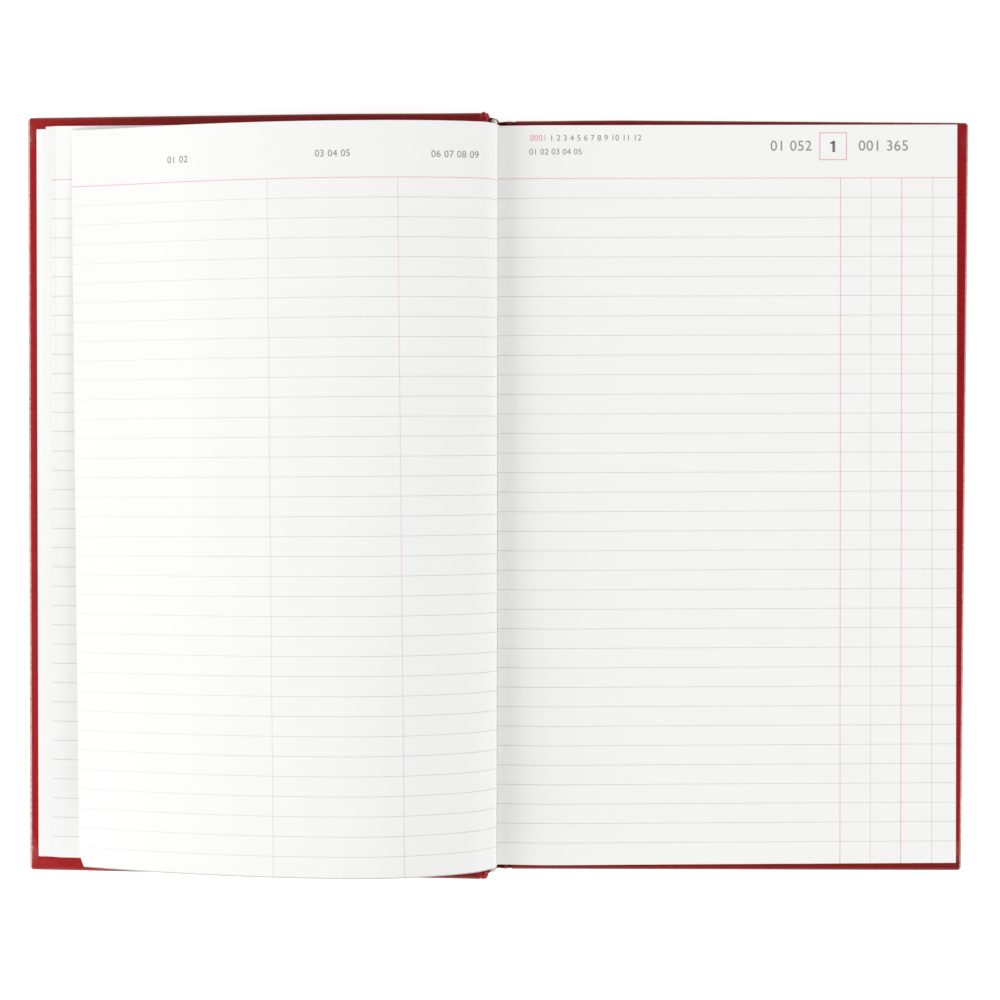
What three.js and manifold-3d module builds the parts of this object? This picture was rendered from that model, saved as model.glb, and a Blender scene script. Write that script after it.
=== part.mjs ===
// Page-a-day diary in a case binding, lying open near its front.
// Millimetres. +X runs from the gutter over the day page, +Y to the head of the book, +Z up.
// The back cover lies on the table. The front cover leans on its fore edge.

import * as THREE from 'three';
import { mergeVertices } from 'three/addons/utils/BufferGeometryUtils.js';
import Module from 'manifold-3d';

const wasm = await Module();
wasm.setup();

// Leaves and endpapers
const LEAF_WIDTH = 193.6;
const LEAF_HEIGHT = 308;
const LEAF_THICKNESS = 0.2;
const ENDPAPER_THICKNESS = 0.25;

// Sewn text block
const SECTION_COUNT = 12;
const BLOCK_THICKNESS = 16.4;
const BLOCK_LEAN = 3.2;
const GUTTER_DIP = 2;
const GUTTER_REACH = 14;
const FOLD_BULGE = 0.45;

// Case: boards, spine card and leather cloth
const BOARD_THICKNESS = 2.3;
const SKIN_THICKNESS = 0.4;
const CARD_THICKNESS = 0.7;
const JOINT_GAP = 5.6;
const FORE_SQUARE = 4;
const HEAD_SQUARE = 5;
const TURN_IN = 15;
const CORNER_RADIUS = 1.6;
const SPINE_FOOT = 1.3;

// Linings on the back of the text block
const MULL_THICKNESS = 0.2;
const MULL_INSET = 3.5;
const MULL_FLANGE = 25;
const LINING_THICKNESS = 0.2;
const THREAD_THICKNESS = 0.3;
const THREAD_WIDTH = 0.5;
const THREAD_REACH = 120;
const HEADBAND_RADIUS = 0.9;
const HEADBAND_SKIRT = 9;
const HOLLOW_BACK = 0.25;

// Clearances
const GLUE_LINE = 0.05;
const FREE_GAP = 0.3;
const CLOSING_ROOM = 1.25;

// Front hinge: its axis lies this far before the lower fold of the block and below the shut cover
const HINGE_BEFORE_FOLD = 1.1;
const HINGE_BELOW_FACE = 1.05;

// Left-hand leaves: how far each fore edge stays short of the pastedown, and its lift off it
const FLYLEAF_SHORT = 4.2;
const LOWER_LEAF_SHORT = 6.7;
const MIDDLE_LEAF_SHORT = 8.7;
const ADDRESS_LEAF_SHORT = 14.8;
const LEFT_LEAF_PITCH = 0.5;
const SHOULDER_LIFT = 2.2;
const LOWER_LEAF_RISE = 1.2;

// Arch of the address leaf: share of its way over the cover, height there at the head and the tail
const ADDRESS_ARCH = [
  [-0.014, 3.6, 4.6],
  [0.005, 5.2, 8.6],
  [0.09, 10, 17.6],
  [0.22, 15, 25],
  [0.45, 16.9, 26.3],
  [0.68, 11.5, 22],
  [0.86, 5, 15.6],
  [1, 1.75, 9.3],
];
const ADDRESS_TAIL_DRAWN_IN = 6.5;
const ADDRESS_SKEW = 1;
const LEAF_STATIONS = 44;

// Heights that follow from the plies, from the table up
const coverThickness = 2 * SKIN_THICKNESS + BOARD_THICKNESS + 2 * GLUE_LINE;
const pastedownBase = coverThickness + GLUE_LINE;
const pastedownTop = pastedownBase + ENDPAPER_THICKNESS;
const flyleafBase = pastedownTop + GLUE_LINE;
const blockBase = flyleafBase + ENDPAPER_THICKNESS + GLUE_LINE;
const blockTop = blockBase + BLOCK_THICKNESS;
const dayPageTop = blockTop + GLUE_LINE + LEAF_THICKNESS;
const shutFace = dayPageTop + CLOSING_ROOM + pastedownTop;

// Places across the book
const topFoldX = -0.75 * BLOCK_LEAN;
const bottomFoldX = topFoldX + BLOCK_LEAN;
const hingeEdge = bottomFoldX + JOINT_GAP;
const foreEdge = bottomFoldX + LEAF_WIDTH + FORE_SQUARE;
const coverHeight = LEAF_HEIGHT + 2 * HEAD_SQUARE;
const pastedownWidth = foreEdge - FORE_SQUARE - hingeEdge;
const mullLength = coverHeight - 2 * (TURN_IN + MULL_INSET);

// Linings outwards from the folds of the sections
const threadOut = GLUE_LINE + THREAD_THICKNESS;
const mullOut = threadOut + GLUE_LINE + MULL_THICKNESS;
const liningOut = mullOut + GLUE_LINE + LINING_THICKNESS;
const cardOut = liningOut + HOLLOW_BACK + CARD_THICKNESS;
const skinOut = cardOut + GLUE_LINE + SKIN_THICKNESS;
const spineTop = shutFace - SPINE_FOOT - GLUE_LINE;

// Front hinge and how far the cover has to open until its fore edge meets the table
const hingeX = bottomFoldX - HINGE_BEFORE_FOLD;
const hingeZ = shutFace - HINGE_BELOW_FACE;
const coverReach = Math.hypot(foreEdge - hingeX, HINGE_BELOW_FACE);
const pastFlat = Math.asin(hingeZ / coverReach) - Math.atan2(HINGE_BELOW_FACE, foreEdge - hingeX);
const opening = Math.PI + pastFlat;

// Where a point of the shut front cover lies once the cover is open
function opened(x, z) {
  const dx = x - hingeX;
  const dz = z - hingeZ;
  return new THREE.Vector2(
    hingeX + dx * Math.cos(opening) - dz * Math.sin(opening),
    hingeZ + dx * Math.sin(opening) + dz * Math.cos(opening),
  );
}

// Point over the open front cover: along it from the hinge edge, and up from its pastedown
function overCover(along, up) {
  return opened(hingeEdge + along, shutFace - pastedownTop - up);
}

// Point beside the hinge edge of the open front cover: off the edge, and in from the outer face
function besideEdge(off, depth) {
  return opened(hingeEdge - off, shutFace - depth);
}

// Fold line of the leaning block at a height over the table
const spineFoldTop = blockTop - GUTTER_DIP;
function foldX(z) {
  return bottomFoldX - BLOCK_LEAN * (z - blockBase) / (spineFoldTop - blockBase);
}

// Fold of a sheet that lies so high in the flat part of the block
function sheetFold(height) {
  return bottomFoldX - BLOCK_LEAN * height / BLOCK_THICKNESS;
}

// Height over the table of that sheet, which dips towards its fold
function sheetZ(x, height) {
  const away = (x - sheetFold(height)) / GUTTER_REACH;
  const dip = GUTTER_DIP * (1 - THREE.MathUtils.smoothstep(away, 0, 1));
  return blockBase + height - dip * height / BLOCK_THICKNESS;
}

// Finishes
function finish(color, roughness) {
  return new THREE.MeshStandardMaterial({ color, roughness, metalness: 0 });
}

const leatherCloth = () => finish(0x9c161c, 0.45);
const greyBoard = () => finish(0x8d867a, 0.95);
const card = () => finish(0xb9a98a, 0.95);
const whitePaper = () => finish(0xf4f4f2, 0.85);
const endPaper = () => finish(0xfafaf8, 0.9);
const gauze = () => finish(0xe4dfd2, 1);
const kraft = () => finish(0xb58d5c, 0.9);
const cotton = () => finish(0xefeae0, 0.9);

function piece(name, geometry, material) {
  const mesh = new THREE.Mesh(geometry, material);
  mesh.name = name;
  return mesh;
}

// Outline in X and Z, drawn out along Y and centred on it
function drawnOut(outline, length) {
  const body = new THREE.ExtrudeGeometry(new THREE.Shape(outline), {
    depth: length,
    bevelEnabled: false,
  });
  body.rotateX(Math.PI / 2);
  body.translate(0, length / 2, 0);
  return body;
}

// Outline of a thin sheet along a row of points, half its thickness to each side
function ribbon(points, thickness) {
  const left = [];
  const right = [];
  points.forEach((point, i) => {
    const before = points[Math.max(i - 1, 0)];
    const after = points[Math.min(i + 1, points.length - 1)];
    const along = after.clone().sub(before).normalize();
    const side = new THREE.Vector2(-along.y, along.x).multiplyScalar(thickness / 2);
    left.push(point.clone().add(side));
    right.push(point.clone().sub(side));
  });
  return [...right, ...left.reverse()];
}

// Flat plate between two corners, with rounded corners on its far side in X
function plate(x0, x1, height, z0, z1, radius = 0) {
  const y = height / 2;
  const shape = new THREE.Shape();
  shape.moveTo(x0, -y);
  shape.lineTo(x1 - radius, -y);
  if (radius > 0) shape.absarc(x1 - radius, radius - y, radius, -Math.PI / 2, 0, false);
  else shape.lineTo(x1, -y);
  shape.lineTo(x1, y - radius);
  if (radius > 0) shape.absarc(x1 - radius, y - radius, radius, 0, Math.PI / 2, false);
  shape.lineTo(x0, y);
  const body = new THREE.ExtrudeGeometry(shape, {
    depth: z1 - z0,
    bevelEnabled: false,
    curveSegments: 5,
  });
  body.translate(0, 0, z0);
  return body;
}

// Solids for cutting
function toSolid(geometry) {
  const plain = geometry.clone();
  plain.deleteAttribute('normal');
  plain.deleteAttribute('uv');
  const merged = mergeVertices(plain, 1e-5);
  return new wasm.Manifold(new wasm.Mesh({
    numProp: 3,
    vertProperties: Float32Array.from(merged.attributes.position.array),
    triVerts: Uint32Array.from(merged.index.array),
  }));
}

function fromSolid(solid) {
  const mesh = solid.getMesh();
  const geometry = new THREE.BufferGeometry();
  geometry.setAttribute('position', new THREE.BufferAttribute(mesh.vertProperties, 3));
  geometry.setIndex(new THREE.BufferAttribute(mesh.triVerts, 1));
  geometry.computeVertexNormals();
  return geometry;
}

// One cover as it lies on the table: outer face down, hinge edge towards the spine
function cover(side) {
  const group = new THREE.Group();
  group.add(piece(`${side}_cover_skin`, coverSkin(), leatherCloth()));
  group.add(piece(`${side}_board`, board(), greyBoard()));
  group.add(piece(`${side}_mull_flange`, mullFlange(), gauze()));
  group.add(piece(`${side}_pastedown`, pastedown(), endPaper()));
  return group;
}

// Leather cloth over the outer face, turned in round three edges, open over the board
function coverSkin() {
  const inside = coverThickness - SKIN_THICKNESS;
  const past = 1;
  const wrap = toSolid(plate(hingeEdge, foreEdge, coverHeight, 0, coverThickness, CORNER_RADIUS));
  const room = toSolid(plate(
    hingeEdge - past,
    foreEdge - SKIN_THICKNESS,
    coverHeight - 2 * SKIN_THICKNESS,
    SKIN_THICKNESS,
    inside,
    CORNER_RADIUS - SKIN_THICKNESS,
  ));
  const window = toSolid(plate(
    hingeEdge - past,
    foreEdge - TURN_IN,
    coverHeight - 2 * TURN_IN,
    inside - past,
    coverThickness + past,
  ));
  return fromSolid(wrap.subtract(room).subtract(window));
}

function board() {
  const inset = SKIN_THICKNESS + GLUE_LINE;
  return plate(
    hingeEdge,
    foreEdge - inset,
    coverHeight - 2 * inset,
    inset,
    inset + BOARD_THICKNESS,
    CORNER_RADIUS - inset,
  );
}

function mullFlange() {
  const base = coverThickness - SKIN_THICKNESS;
  return plate(hingeEdge, hingeEdge + MULL_FLANGE, mullLength, base, base + MULL_THICKNESS);
}

function pastedown() {
  return plate(
    hingeEdge,
    hingeEdge + pastedownWidth,
    LEAF_HEIGHT,
    pastedownBase,
    pastedownTop,
    CORNER_RADIUS / 2,
  );
}

// The front cover is the same cover turned over and swung open about its hinge
function openFrontCover() {
  const turnedOver = cover('front');
  turnedOver.rotation.x = Math.PI;
  turnedOver.position.set(-hingeX, 0, shutFace - hingeZ);
  const swung = new THREE.Group();
  swung.add(turnedOver);
  swung.position.set(hingeX, 0, hingeZ);
  swung.rotation.y = -opening;
  return swung;
}

// Leather in the front joint: from the spine, in over it, and back down the hinge edge
function frontJointSkin() {
  const spineEnd = new THREE.Vector2(foldX(spineTop) - skinOut + SKIN_THICKNESS / 2, spineTop);
  const line = new THREE.SplineCurve([
    new THREE.Vector2(spineEnd.x, spineEnd.y + FREE_GAP - GLUE_LINE),
    new THREE.Vector2(spineEnd.x + 0.35, spineEnd.y + 0.6),
    new THREE.Vector2(spineEnd.x + 1.05, spineEnd.y + 0.75),
    new THREE.Vector2(spineEnd.x + 1.5, spineEnd.y + 1.2),
    new THREE.Vector2(spineEnd.x + 1.05, spineEnd.y + 1.65),
    besideEdge(1.3, 3.05),
    besideEdge(0.55, 2.6),
    besideEdge(0.45, 1.2),
    besideEdge(FREE_GAP, SKIN_THICKNESS / 2),
  ]);
  return drawnOut(ribbon(line.getPoints(40), SKIN_THICKNESS), coverHeight);
}

// Leather in the back joint: a groove pressed up between the spine and the back board
function backJointSkin() {
  const spineEnd = foldX(SPINE_FOOT) - skinOut + SKIN_THICKNESS / 2;
  const low = SKIN_THICKNESS / 2 + GLUE_LINE;
  const span = hingeEdge - spineEnd;
  const line = new THREE.SplineCurve([
    new THREE.Vector2(spineEnd, SPINE_FOOT - FREE_GAP + GLUE_LINE),
    new THREE.Vector2(spineEnd + 0.02 * span, SPINE_FOOT / 2),
    new THREE.Vector2(spineEnd + 0.1 * span, low),
    new THREE.Vector2(spineEnd + 0.3 * span, 2 * low),
    new THREE.Vector2(spineEnd + 0.6 * span, coverThickness - 1),
    new THREE.Vector2(spineEnd + 0.78 * span, coverThickness - 1.1),
    new THREE.Vector2(spineEnd + 0.9 * span, coverThickness / 2 - 0.2),
    new THREE.Vector2(hingeEdge - FREE_GAP, low + GLUE_LINE),
  ]);
  return drawnOut(ribbon(line.getPoints(30), SKIN_THICKNESS), coverHeight);
}

// Endpaper where it crosses a joint, from the pastedown to the text block
function backEndpaperJoint() {
  const z = pastedownBase + ENDPAPER_THICKNESS / 2;
  const line = [new THREE.Vector2(bottomFoldX, z), new THREE.Vector2(hingeEdge - FREE_GAP, z)];
  return drawnOut(ribbon(line, ENDPAPER_THICKNESS), LEAF_HEIGHT);
}

function frontEndpaperJoint() {
  const line = new THREE.SplineCurve([
    new THREE.Vector2(topFoldX, blockTop + FREE_GAP),
    new THREE.Vector2(topFoldX - 0.2, blockTop + 2.3),
    new THREE.Vector2(topFoldX - 0.85, blockTop + 4.7),
    besideEdge(3.4, pastedownTop + 0.3),
    besideEdge(2, pastedownTop + 0.4),
    besideEdge(FREE_GAP, pastedownTop - ENDPAPER_THICKNESS / 2),
  ]);
  return drawnOut(ribbon(line.getPoints(30), ENDPAPER_THICKNESS), LEAF_HEIGHT);
}

// One folded section: its sheets follow the dip of the gutter and its fold is round
function section(index) {
  const pitch = BLOCK_THICKNESS / SECTION_COUNT;
  const low = index * pitch;
  const high = low + pitch - GLUE_LINE;
  const steps = 6;
  const below = [];
  const above = [];
  for (let i = 0; i <= steps; i += 1) {
    const away = FOLD_BULGE + (GUTTER_REACH - FOLD_BULGE) * i / steps;
    const lowX = sheetFold(low) + away;
    const highX = sheetFold(high) + away;
    below.push(new THREE.Vector2(lowX, sheetZ(lowX, low)));
    above.push(new THREE.Vector2(highX, sheetZ(highX, high)));
  }
  below.push(new THREE.Vector2(sheetFold(low) + LEAF_WIDTH, blockBase + low));
  above.push(new THREE.Vector2(sheetFold(high) + LEAF_WIDTH, blockBase + high));
  return drawnOut([...below, ...above.reverse(), ...roundFold(above.at(-1), below[0])], LEAF_HEIGHT);
}

// Points of the round fold between the upper and the lower side of a section
function roundFold(upper, lower) {
  const points = [];
  for (const share of [0.2, 0.5, 0.8]) {
    const x = THREE.MathUtils.lerp(upper.x, lower.x, share);
    const z = THREE.MathUtils.lerp(upper.y, lower.y, share);
    points.push(new THREE.Vector2(x - FOLD_BULGE * Math.sin(Math.PI * share), z));
  }
  return points;
}

// A layer on the back of the block, so far out from the folds, leaning as they do
function backLayer(out, thickness, z0, z1, length) {
  const outline = [
    new THREE.Vector2(foldX(z0) - out, z0),
    new THREE.Vector2(foldX(z0) - out + thickness, z0),
    new THREE.Vector2(foldX(z1) - out + thickness, z1),
    new THREE.Vector2(foldX(z1) - out, z1),
  ];
  return drawnOut(outline, length);
}

// Moves each point by the lean of the block at its height
function lean(geometry) {
  const position = geometry.attributes.position;
  for (let i = 0; i < position.count; i += 1) {
    position.setX(i, position.getX(i) + foldX(position.getZ(i)));
  }
  geometry.computeVertexNormals();
  return geometry;
}

// Sewing thread: one run along every section, each joined to the next by a kettle stitch
function sewingThread() {
  const pitch = (spineFoldTop - blockBase) / SECTION_COUNT;
  const half = THREAD_WIDTH / 2;
  const centre = [];
  for (let i = 0; i < SECTION_COUNT; i += 1) {
    const z = blockBase + (i + 0.5) * pitch;
    const out = i % 2 === 0 ? THREAD_REACH : -THREAD_REACH;
    centre.push(new THREE.Vector2(-out, z), new THREE.Vector2(out, z));
  }
  const left = [];
  const right = [];
  centre.forEach((point, i) => {
    const goingOut = Math.floor(i / 2) % 2 === 0;
    const atStart = i === 0;
    const atEnd = i === centre.length - 1;
    const turn = Math.sign(point.x) * half;
    const outer = new THREE.Vector2(point.x + turn, point.y);
    const inner = new THREE.Vector2(point.x - turn, point.y);
    const entering = i % 2 === 0;
    const up = goingOut ? left : right;
    const down = goingOut ? right : left;
    const upper = entering ? outer : inner;
    const lower = entering ? inner : outer;
    up.push(new THREE.Vector2((atEnd ? outer : upper).x, point.y + half));
    down.push(new THREE.Vector2((atStart ? outer : lower).x, point.y - half));
  });
  const shape = new THREE.Shape([...right, ...left.reverse()]);
  const body = new THREE.ExtrudeGeometry(shape, { depth: THREAD_THICKNESS, bevelEnabled: false });
  body.applyMatrix4(new THREE.Matrix4().makeBasis(
    new THREE.Vector3(0, 1, 0),
    new THREE.Vector3(0, 0, 1),
    new THREE.Vector3(1, 0, 0),
  ));
  body.translate(-threadOut, 0, 0);
  return lean(body);
}

// Headband: a round bead over the end of the folds, with a cloth skirt down the back
function headband(end) {
  const bead = LEAF_HEIGHT / 2 + GLUE_LINE + HEADBAND_RADIUS;
  const skirt = bead - HEADBAND_RADIUS - HEADBAND_SKIRT;
  const outer = -GLUE_LINE - LINING_THICKNESS;
  const shape = new THREE.Shape();
  shape.moveTo(outer, skirt);
  shape.lineTo(-GLUE_LINE, skirt);
  shape.lineTo(-GLUE_LINE, bead - HEADBAND_RADIUS);
  shape.lineTo(outer + HEADBAND_RADIUS, bead - HEADBAND_RADIUS);
  shape.absarc(outer + HEADBAND_RADIUS, bead, HEADBAND_RADIUS, -Math.PI / 2, Math.PI, false);
  const body = new THREE.ExtrudeGeometry(shape, {
    depth: spineFoldTop - blockBase,
    bevelEnabled: false,
    curveSegments: 10,
  });
  body.translate(0, 0, blockBase);
  if (end < 0) body.rotateX(Math.PI).translate(0, 0, spineFoldTop + blockBase);
  return lean(body);
}

// Sheet between a row of points at the head and one at the tail, with its real thickness
function curvedLeaf(headLine, tailLine, skew = 0, steps = 1) {
  const head = leafRow(leafStations(headLine), skew, 1);
  const tail = leafRow(leafStations(tailLine), skew, -1);
  const ring = head.length;
  const positions = [];
  for (let row = 0; row <= steps; row += 1) {
    const share = row / steps;
    head.forEach((point, i) => {
      positions.push(...point.map((value, k) => THREE.MathUtils.lerp(value, tail[i][k], share)));
    });
  }
  const geometry = new THREE.BufferGeometry();
  geometry.setAttribute('position', new THREE.Float32BufferAttribute(positions, 3));
  geometry.setIndex([...leafFaces(ring, steps), ...leafEnds(ring, steps)]);
  geometry.computeVertexNormals();
  return geometry;
}

// Faces along the leaf, split along the same diagonals on both of its sides
function leafFaces(ring, steps) {
  const index = [];
  for (let row = 0; row < steps; row += 1) {
    for (let i = 0; i < ring; i += 1) {
      const next = (i + 1) % ring;
      const a = row * ring + i;
      const b = row * ring + next;
      if (i < ring / 2) index.push(a, b, ring + a, b, ring + b, ring + a);
      else index.push(a, b, ring + b, a, ring + b, ring + a);
    }
  }
  return index;
}

// Faces that close the leaf at its head and its tail
function leafEnds(ring, steps) {
  const index = [];
  const last = steps * ring;
  for (let i = 0; i < LEAF_STATIONS; i += 1) {
    const far = ring - 1 - i;
    index.push(i, far, i + 1, far, far - 1, i + 1);
    index.push(last + i, last + i + 1, last + far);
    index.push(last + far, last + i + 1, last + far - 1);
  }
  return index;
}

// Points along a leaf, closer together near its root
function leafStations(line) {
  const points = [];
  for (let i = 0; i <= LEAF_STATIONS; i += 1) {
    const point = line.getPointAt((i / LEAF_STATIONS) ** 1.8);
    points.push(new THREE.Vector2(point.x, point.z));
  }
  return points;
}

// The ring of points round one end of a leaf: up one face and back down the other
function leafRow(points, skew, end) {
  const reach = Math.abs(points.at(-1).x);
  return ribbon(points, LEAF_THICKNESS).map((point) => [
    point.x,
    end * LEAF_HEIGHT / 2 + skew * Math.abs(point.x) / reach,
    point.y,
  ]);
}

// Roots of the left-hand leaves, counted from the day page towards the flyleaf
function leafRoot(count) {
  const x = GLUE_LINE - (count + 0.2) * LEFT_LEAF_PITCH;
  return new THREE.Vector2(x, sheetZ(x, BLOCK_THICKNESS) + FREE_GAP + LEAF_THICKNESS / 2);
}

// A leaf stands up from its root before it goes on over the cover
function leafLine(root, points) {
  const start = [
    root,
    new THREE.Vector2(root.x - 0.15, root.y + 4),
    new THREE.Vector2(root.x - 0.9, root.y + 6.8),
  ];
  const line = new THREE.CatmullRomCurve3(
    [...start, ...points].map((point) => new THREE.Vector3(point.x, 0, point.y)),
    false,
    'centripetal',
  );
  line.arcLengthDivisions = 2000;
  return line;
}

// A leaf that lies along the open cover, over so many others
function lyingLeaf(count, short, lift, rise) {
  const root = leafRoot(count);
  const reach = pastedownWidth - short;
  const low = 0.35 + lift;
  return leafLine(root, [
    overCover(-2.6, 0.7 * SHOULDER_LIFT + lift),
    overCover(0.01 * reach, SHOULDER_LIFT + lift),
    overCover(0.07 * reach, 0.8 * SHOULDER_LIFT + lift),
    overCover(0.3 * reach, low + 0.3 * rise),
    overCover(0.62 * reach, low),
    overCover(reach, low),
  ]);
}

// The address leaf stands off the cover in an arch, higher at the tail than at the head
function archedLeaf(column, reach) {
  const root = leafRoot(0);
  return leafLine(root, ADDRESS_ARCH.map((row) => overCover(row[0] * reach, row[column])));
}

function leftLeaves() {
  const step = LEFT_LEAF_PITCH + 0.1;
  const flyleaf = lyingLeaf(3, FLYLEAF_SHORT, 0, 0);
  const lower = lyingLeaf(2, LOWER_LEAF_SHORT, step, LOWER_LEAF_RISE);
  const middle = lyingLeaf(1, MIDDLE_LEAF_SHORT, 2 * step, 2 * LOWER_LEAF_RISE);
  const reach = pastedownWidth - ADDRESS_LEAF_SHORT;
  const head = archedLeaf(1, reach);
  const tail = archedLeaf(2, reach - ADDRESS_TAIL_DRAWN_IN);
  const group = new THREE.Group();
  group.add(piece('front_flyleaf', curvedLeaf(flyleaf, flyleaf), endPaper()));
  group.add(piece('lower_leaf', curvedLeaf(lower, lower, 1), whitePaper()));
  group.add(piece('middle_leaf', curvedLeaf(middle, middle, 1), whitePaper()));
  group.add(piece('address_leaf', curvedLeaf(head, tail, -ADDRESS_SKEW, 10), whitePaper()));
  return group;
}

// The top leaf on the right, from the gutter to the fore edge
function firstDayLeaf() {
  const height = BLOCK_THICKNESS + GLUE_LINE + LEAF_THICKNESS / 2;
  const start = leafRoot(0).x + LEFT_LEAF_PITCH + FREE_GAP;
  const points = [];
  const steps = 8;
  for (let i = 0; i <= steps; i += 1) {
    const x = THREE.MathUtils.lerp(start, topFoldX + GUTTER_REACH, i / steps);
    points.push(new THREE.Vector2(x, sheetZ(x, BLOCK_THICKNESS) + height - BLOCK_THICKNESS));
  }
  points.push(new THREE.Vector2(topFoldX + LEAF_WIDTH, blockBase + height));
  return drawnOut(ribbon(points, LEAF_THICKNESS), LEAF_HEIGHT);
}

function textBlock() {
  const group = new THREE.Group();
  const flyleaf = plate(
    bottomFoldX,
    bottomFoldX + LEAF_WIDTH,
    LEAF_HEIGHT,
    flyleafBase,
    flyleafBase + ENDPAPER_THICKNESS,
  );
  group.add(piece('back_flyleaf', flyleaf, endPaper()));
  for (let i = 0; i < SECTION_COUNT; i += 1) {
    const name = `section_${String(i + 1).padStart(2, '0')}`;
    group.add(piece(name, section(i), whitePaper()));
  }
  group.add(piece('first_day_leaf', firstDayLeaf(), whitePaper()));
  group.add(piece('sewing_thread', sewingThread(), cotton()));
  group.add(piece('headband', headband(1), cotton()));
  group.add(piece('tailband', headband(-1), cotton()));
  group.add(piece(
    'spine_mull',
    backLayer(mullOut, MULL_THICKNESS, blockBase, spineFoldTop, mullLength),
    gauze(),
  ));
  group.add(piece(
    'spine_lining',
    backLayer(liningOut, LINING_THICKNESS, blockBase, spineFoldTop, LEAF_HEIGHT),
    kraft(),
  ));
  return group;
}

function caseSpine() {
  const inset = SKIN_THICKNESS + GLUE_LINE;
  const group = new THREE.Group();
  group.add(piece(
    'spine_card',
    backLayer(cardOut, CARD_THICKNESS, SPINE_FOOT, spineTop, coverHeight - 2 * inset),
    card(),
  ));
  group.add(piece(
    'spine_skin',
    backLayer(skinOut, SKIN_THICKNESS, SPINE_FOOT, spineTop, coverHeight),
    leatherCloth(),
  ));
  return group;
}

// The whole diary, moved so that its origin is the middle of its footprint
const diary = new THREE.Group();
const leftEnd = Math.min(
  opened(foreEdge, shutFace).x,
  opened(foreEdge, shutFace - coverThickness).x,
);
diary.position.x = -(leftEnd + foreEdge) / 2;
diary.add(cover('back'));
diary.add(openFrontCover());
diary.add(textBlock());
diary.add(caseSpine());
diary.add(leftLeaves());
diary.add(piece('front_joint_skin', frontJointSkin(), leatherCloth()));
diary.add(piece('back_joint_skin', backJointSkin(), leatherCloth()));
diary.add(piece('front_endpaper_joint', frontEndpaperJoint(), endPaper()));
diary.add(piece('back_endpaper_joint', backEndpaperJoint(), endPaper()));

export default diary;
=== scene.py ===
"""Page-a-day diary in a case binding, open near its front: the looks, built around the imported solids.

Shapes are drawn in millimetres in the gutter frame: x from near the gutter over the day page, y to the
head of the pages, z up from the table. They go into the row frame, in metres, when they are done.
A cover is drawn as the back cover lies, outer face down, and the front one is then turned over and opened.
"""

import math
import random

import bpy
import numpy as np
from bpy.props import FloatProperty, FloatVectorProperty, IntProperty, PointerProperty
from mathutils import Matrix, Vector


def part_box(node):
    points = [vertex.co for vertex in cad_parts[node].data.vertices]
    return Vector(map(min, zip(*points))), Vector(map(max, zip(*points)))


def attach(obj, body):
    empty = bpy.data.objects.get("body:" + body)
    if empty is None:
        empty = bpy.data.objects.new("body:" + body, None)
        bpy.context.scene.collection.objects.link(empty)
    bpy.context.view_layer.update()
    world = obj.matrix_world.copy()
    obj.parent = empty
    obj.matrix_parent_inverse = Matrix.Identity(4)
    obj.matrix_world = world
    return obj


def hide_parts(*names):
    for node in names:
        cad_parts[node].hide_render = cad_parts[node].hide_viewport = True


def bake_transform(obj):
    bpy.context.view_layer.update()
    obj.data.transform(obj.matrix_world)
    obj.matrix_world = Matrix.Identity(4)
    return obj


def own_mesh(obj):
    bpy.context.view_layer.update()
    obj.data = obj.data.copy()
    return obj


bl_info = {
    "name": "Page-a-day diary",
    "version": (1, 0, 0),
    "blender": (4, 5, 0),
    "location": "3D View > Sidebar > Diary",
    "description": "Builds an open case-bound diary around its packed solids",
    "category": "Add Mesh",
}

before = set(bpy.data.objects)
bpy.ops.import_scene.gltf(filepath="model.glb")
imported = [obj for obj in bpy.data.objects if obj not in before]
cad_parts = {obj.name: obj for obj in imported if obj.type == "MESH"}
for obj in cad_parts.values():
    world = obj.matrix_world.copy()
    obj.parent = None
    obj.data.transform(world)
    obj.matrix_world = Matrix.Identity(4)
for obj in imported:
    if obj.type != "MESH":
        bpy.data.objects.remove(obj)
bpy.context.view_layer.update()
MM = 0.001

# Leaves and text block, as in the solids
LEAF_WIDTH = 193.6
LEAF_HEIGHT = 308.0
LEAF_THICKNESS = 0.2
ENDPAPER_THICKNESS = 0.25
SECTION_COUNT = 12
BLOCK_THICKNESS = 16.4
BLOCK_LEAN = 3.2
GUTTER_DIP = 2.0
GUTTER_REACH = 25.0
FOLD_BULGE = 0.45
BLOCK_BASE = 3.85
BLOCK_TOP = BLOCK_BASE + BLOCK_THICKNESS
FLYLEAF_MIDDLE = BLOCK_BASE - 0.175
FOLD_TOP = BLOCK_TOP - GUTTER_DIP
BOTTOM_FOLD = 0.8
TOP_FOLD = BOTTOM_FOLD - BLOCK_LEAN

# Case
COVER_THICKNESS = 3.2
COVER_HEIGHT = 318.0
COVER_END = COVER_HEIGHT / 2
HINGE_EDGE = 6.4
FORE_EDGE = 198.4
TURN_IN = 15.0
CORNER_RADIUS = 1.6
SKIN = 0.4
BOARD_INSET = 0.45
BOARD_THICKNESS = 2.3
PASTEDOWN_WIDTH = 188.0
PASTEDOWN_BASE = 3.25
PASTEDOWN_TOP = 3.5
SHUT_FACE = 25.25
SPINE_FOOT = 1.3
SPINE_TOP = 23.9
SPINE_SKIN_OUT = 2.05

# Hinge of the front cover and how far it stands open
HINGE_X = -0.3
HINGE_Z = 24.2
COVER_REACH = math.hypot(FORE_EDGE - HINGE_X, SHUT_FACE - HINGE_Z)
PAST_FLAT = math.asin(HINGE_Z / COVER_REACH) - math.atan2(SHUT_FACE - HINGE_Z, FORE_EDGE - HINGE_X)
OPENING = math.pi + PAST_FLAT

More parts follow.
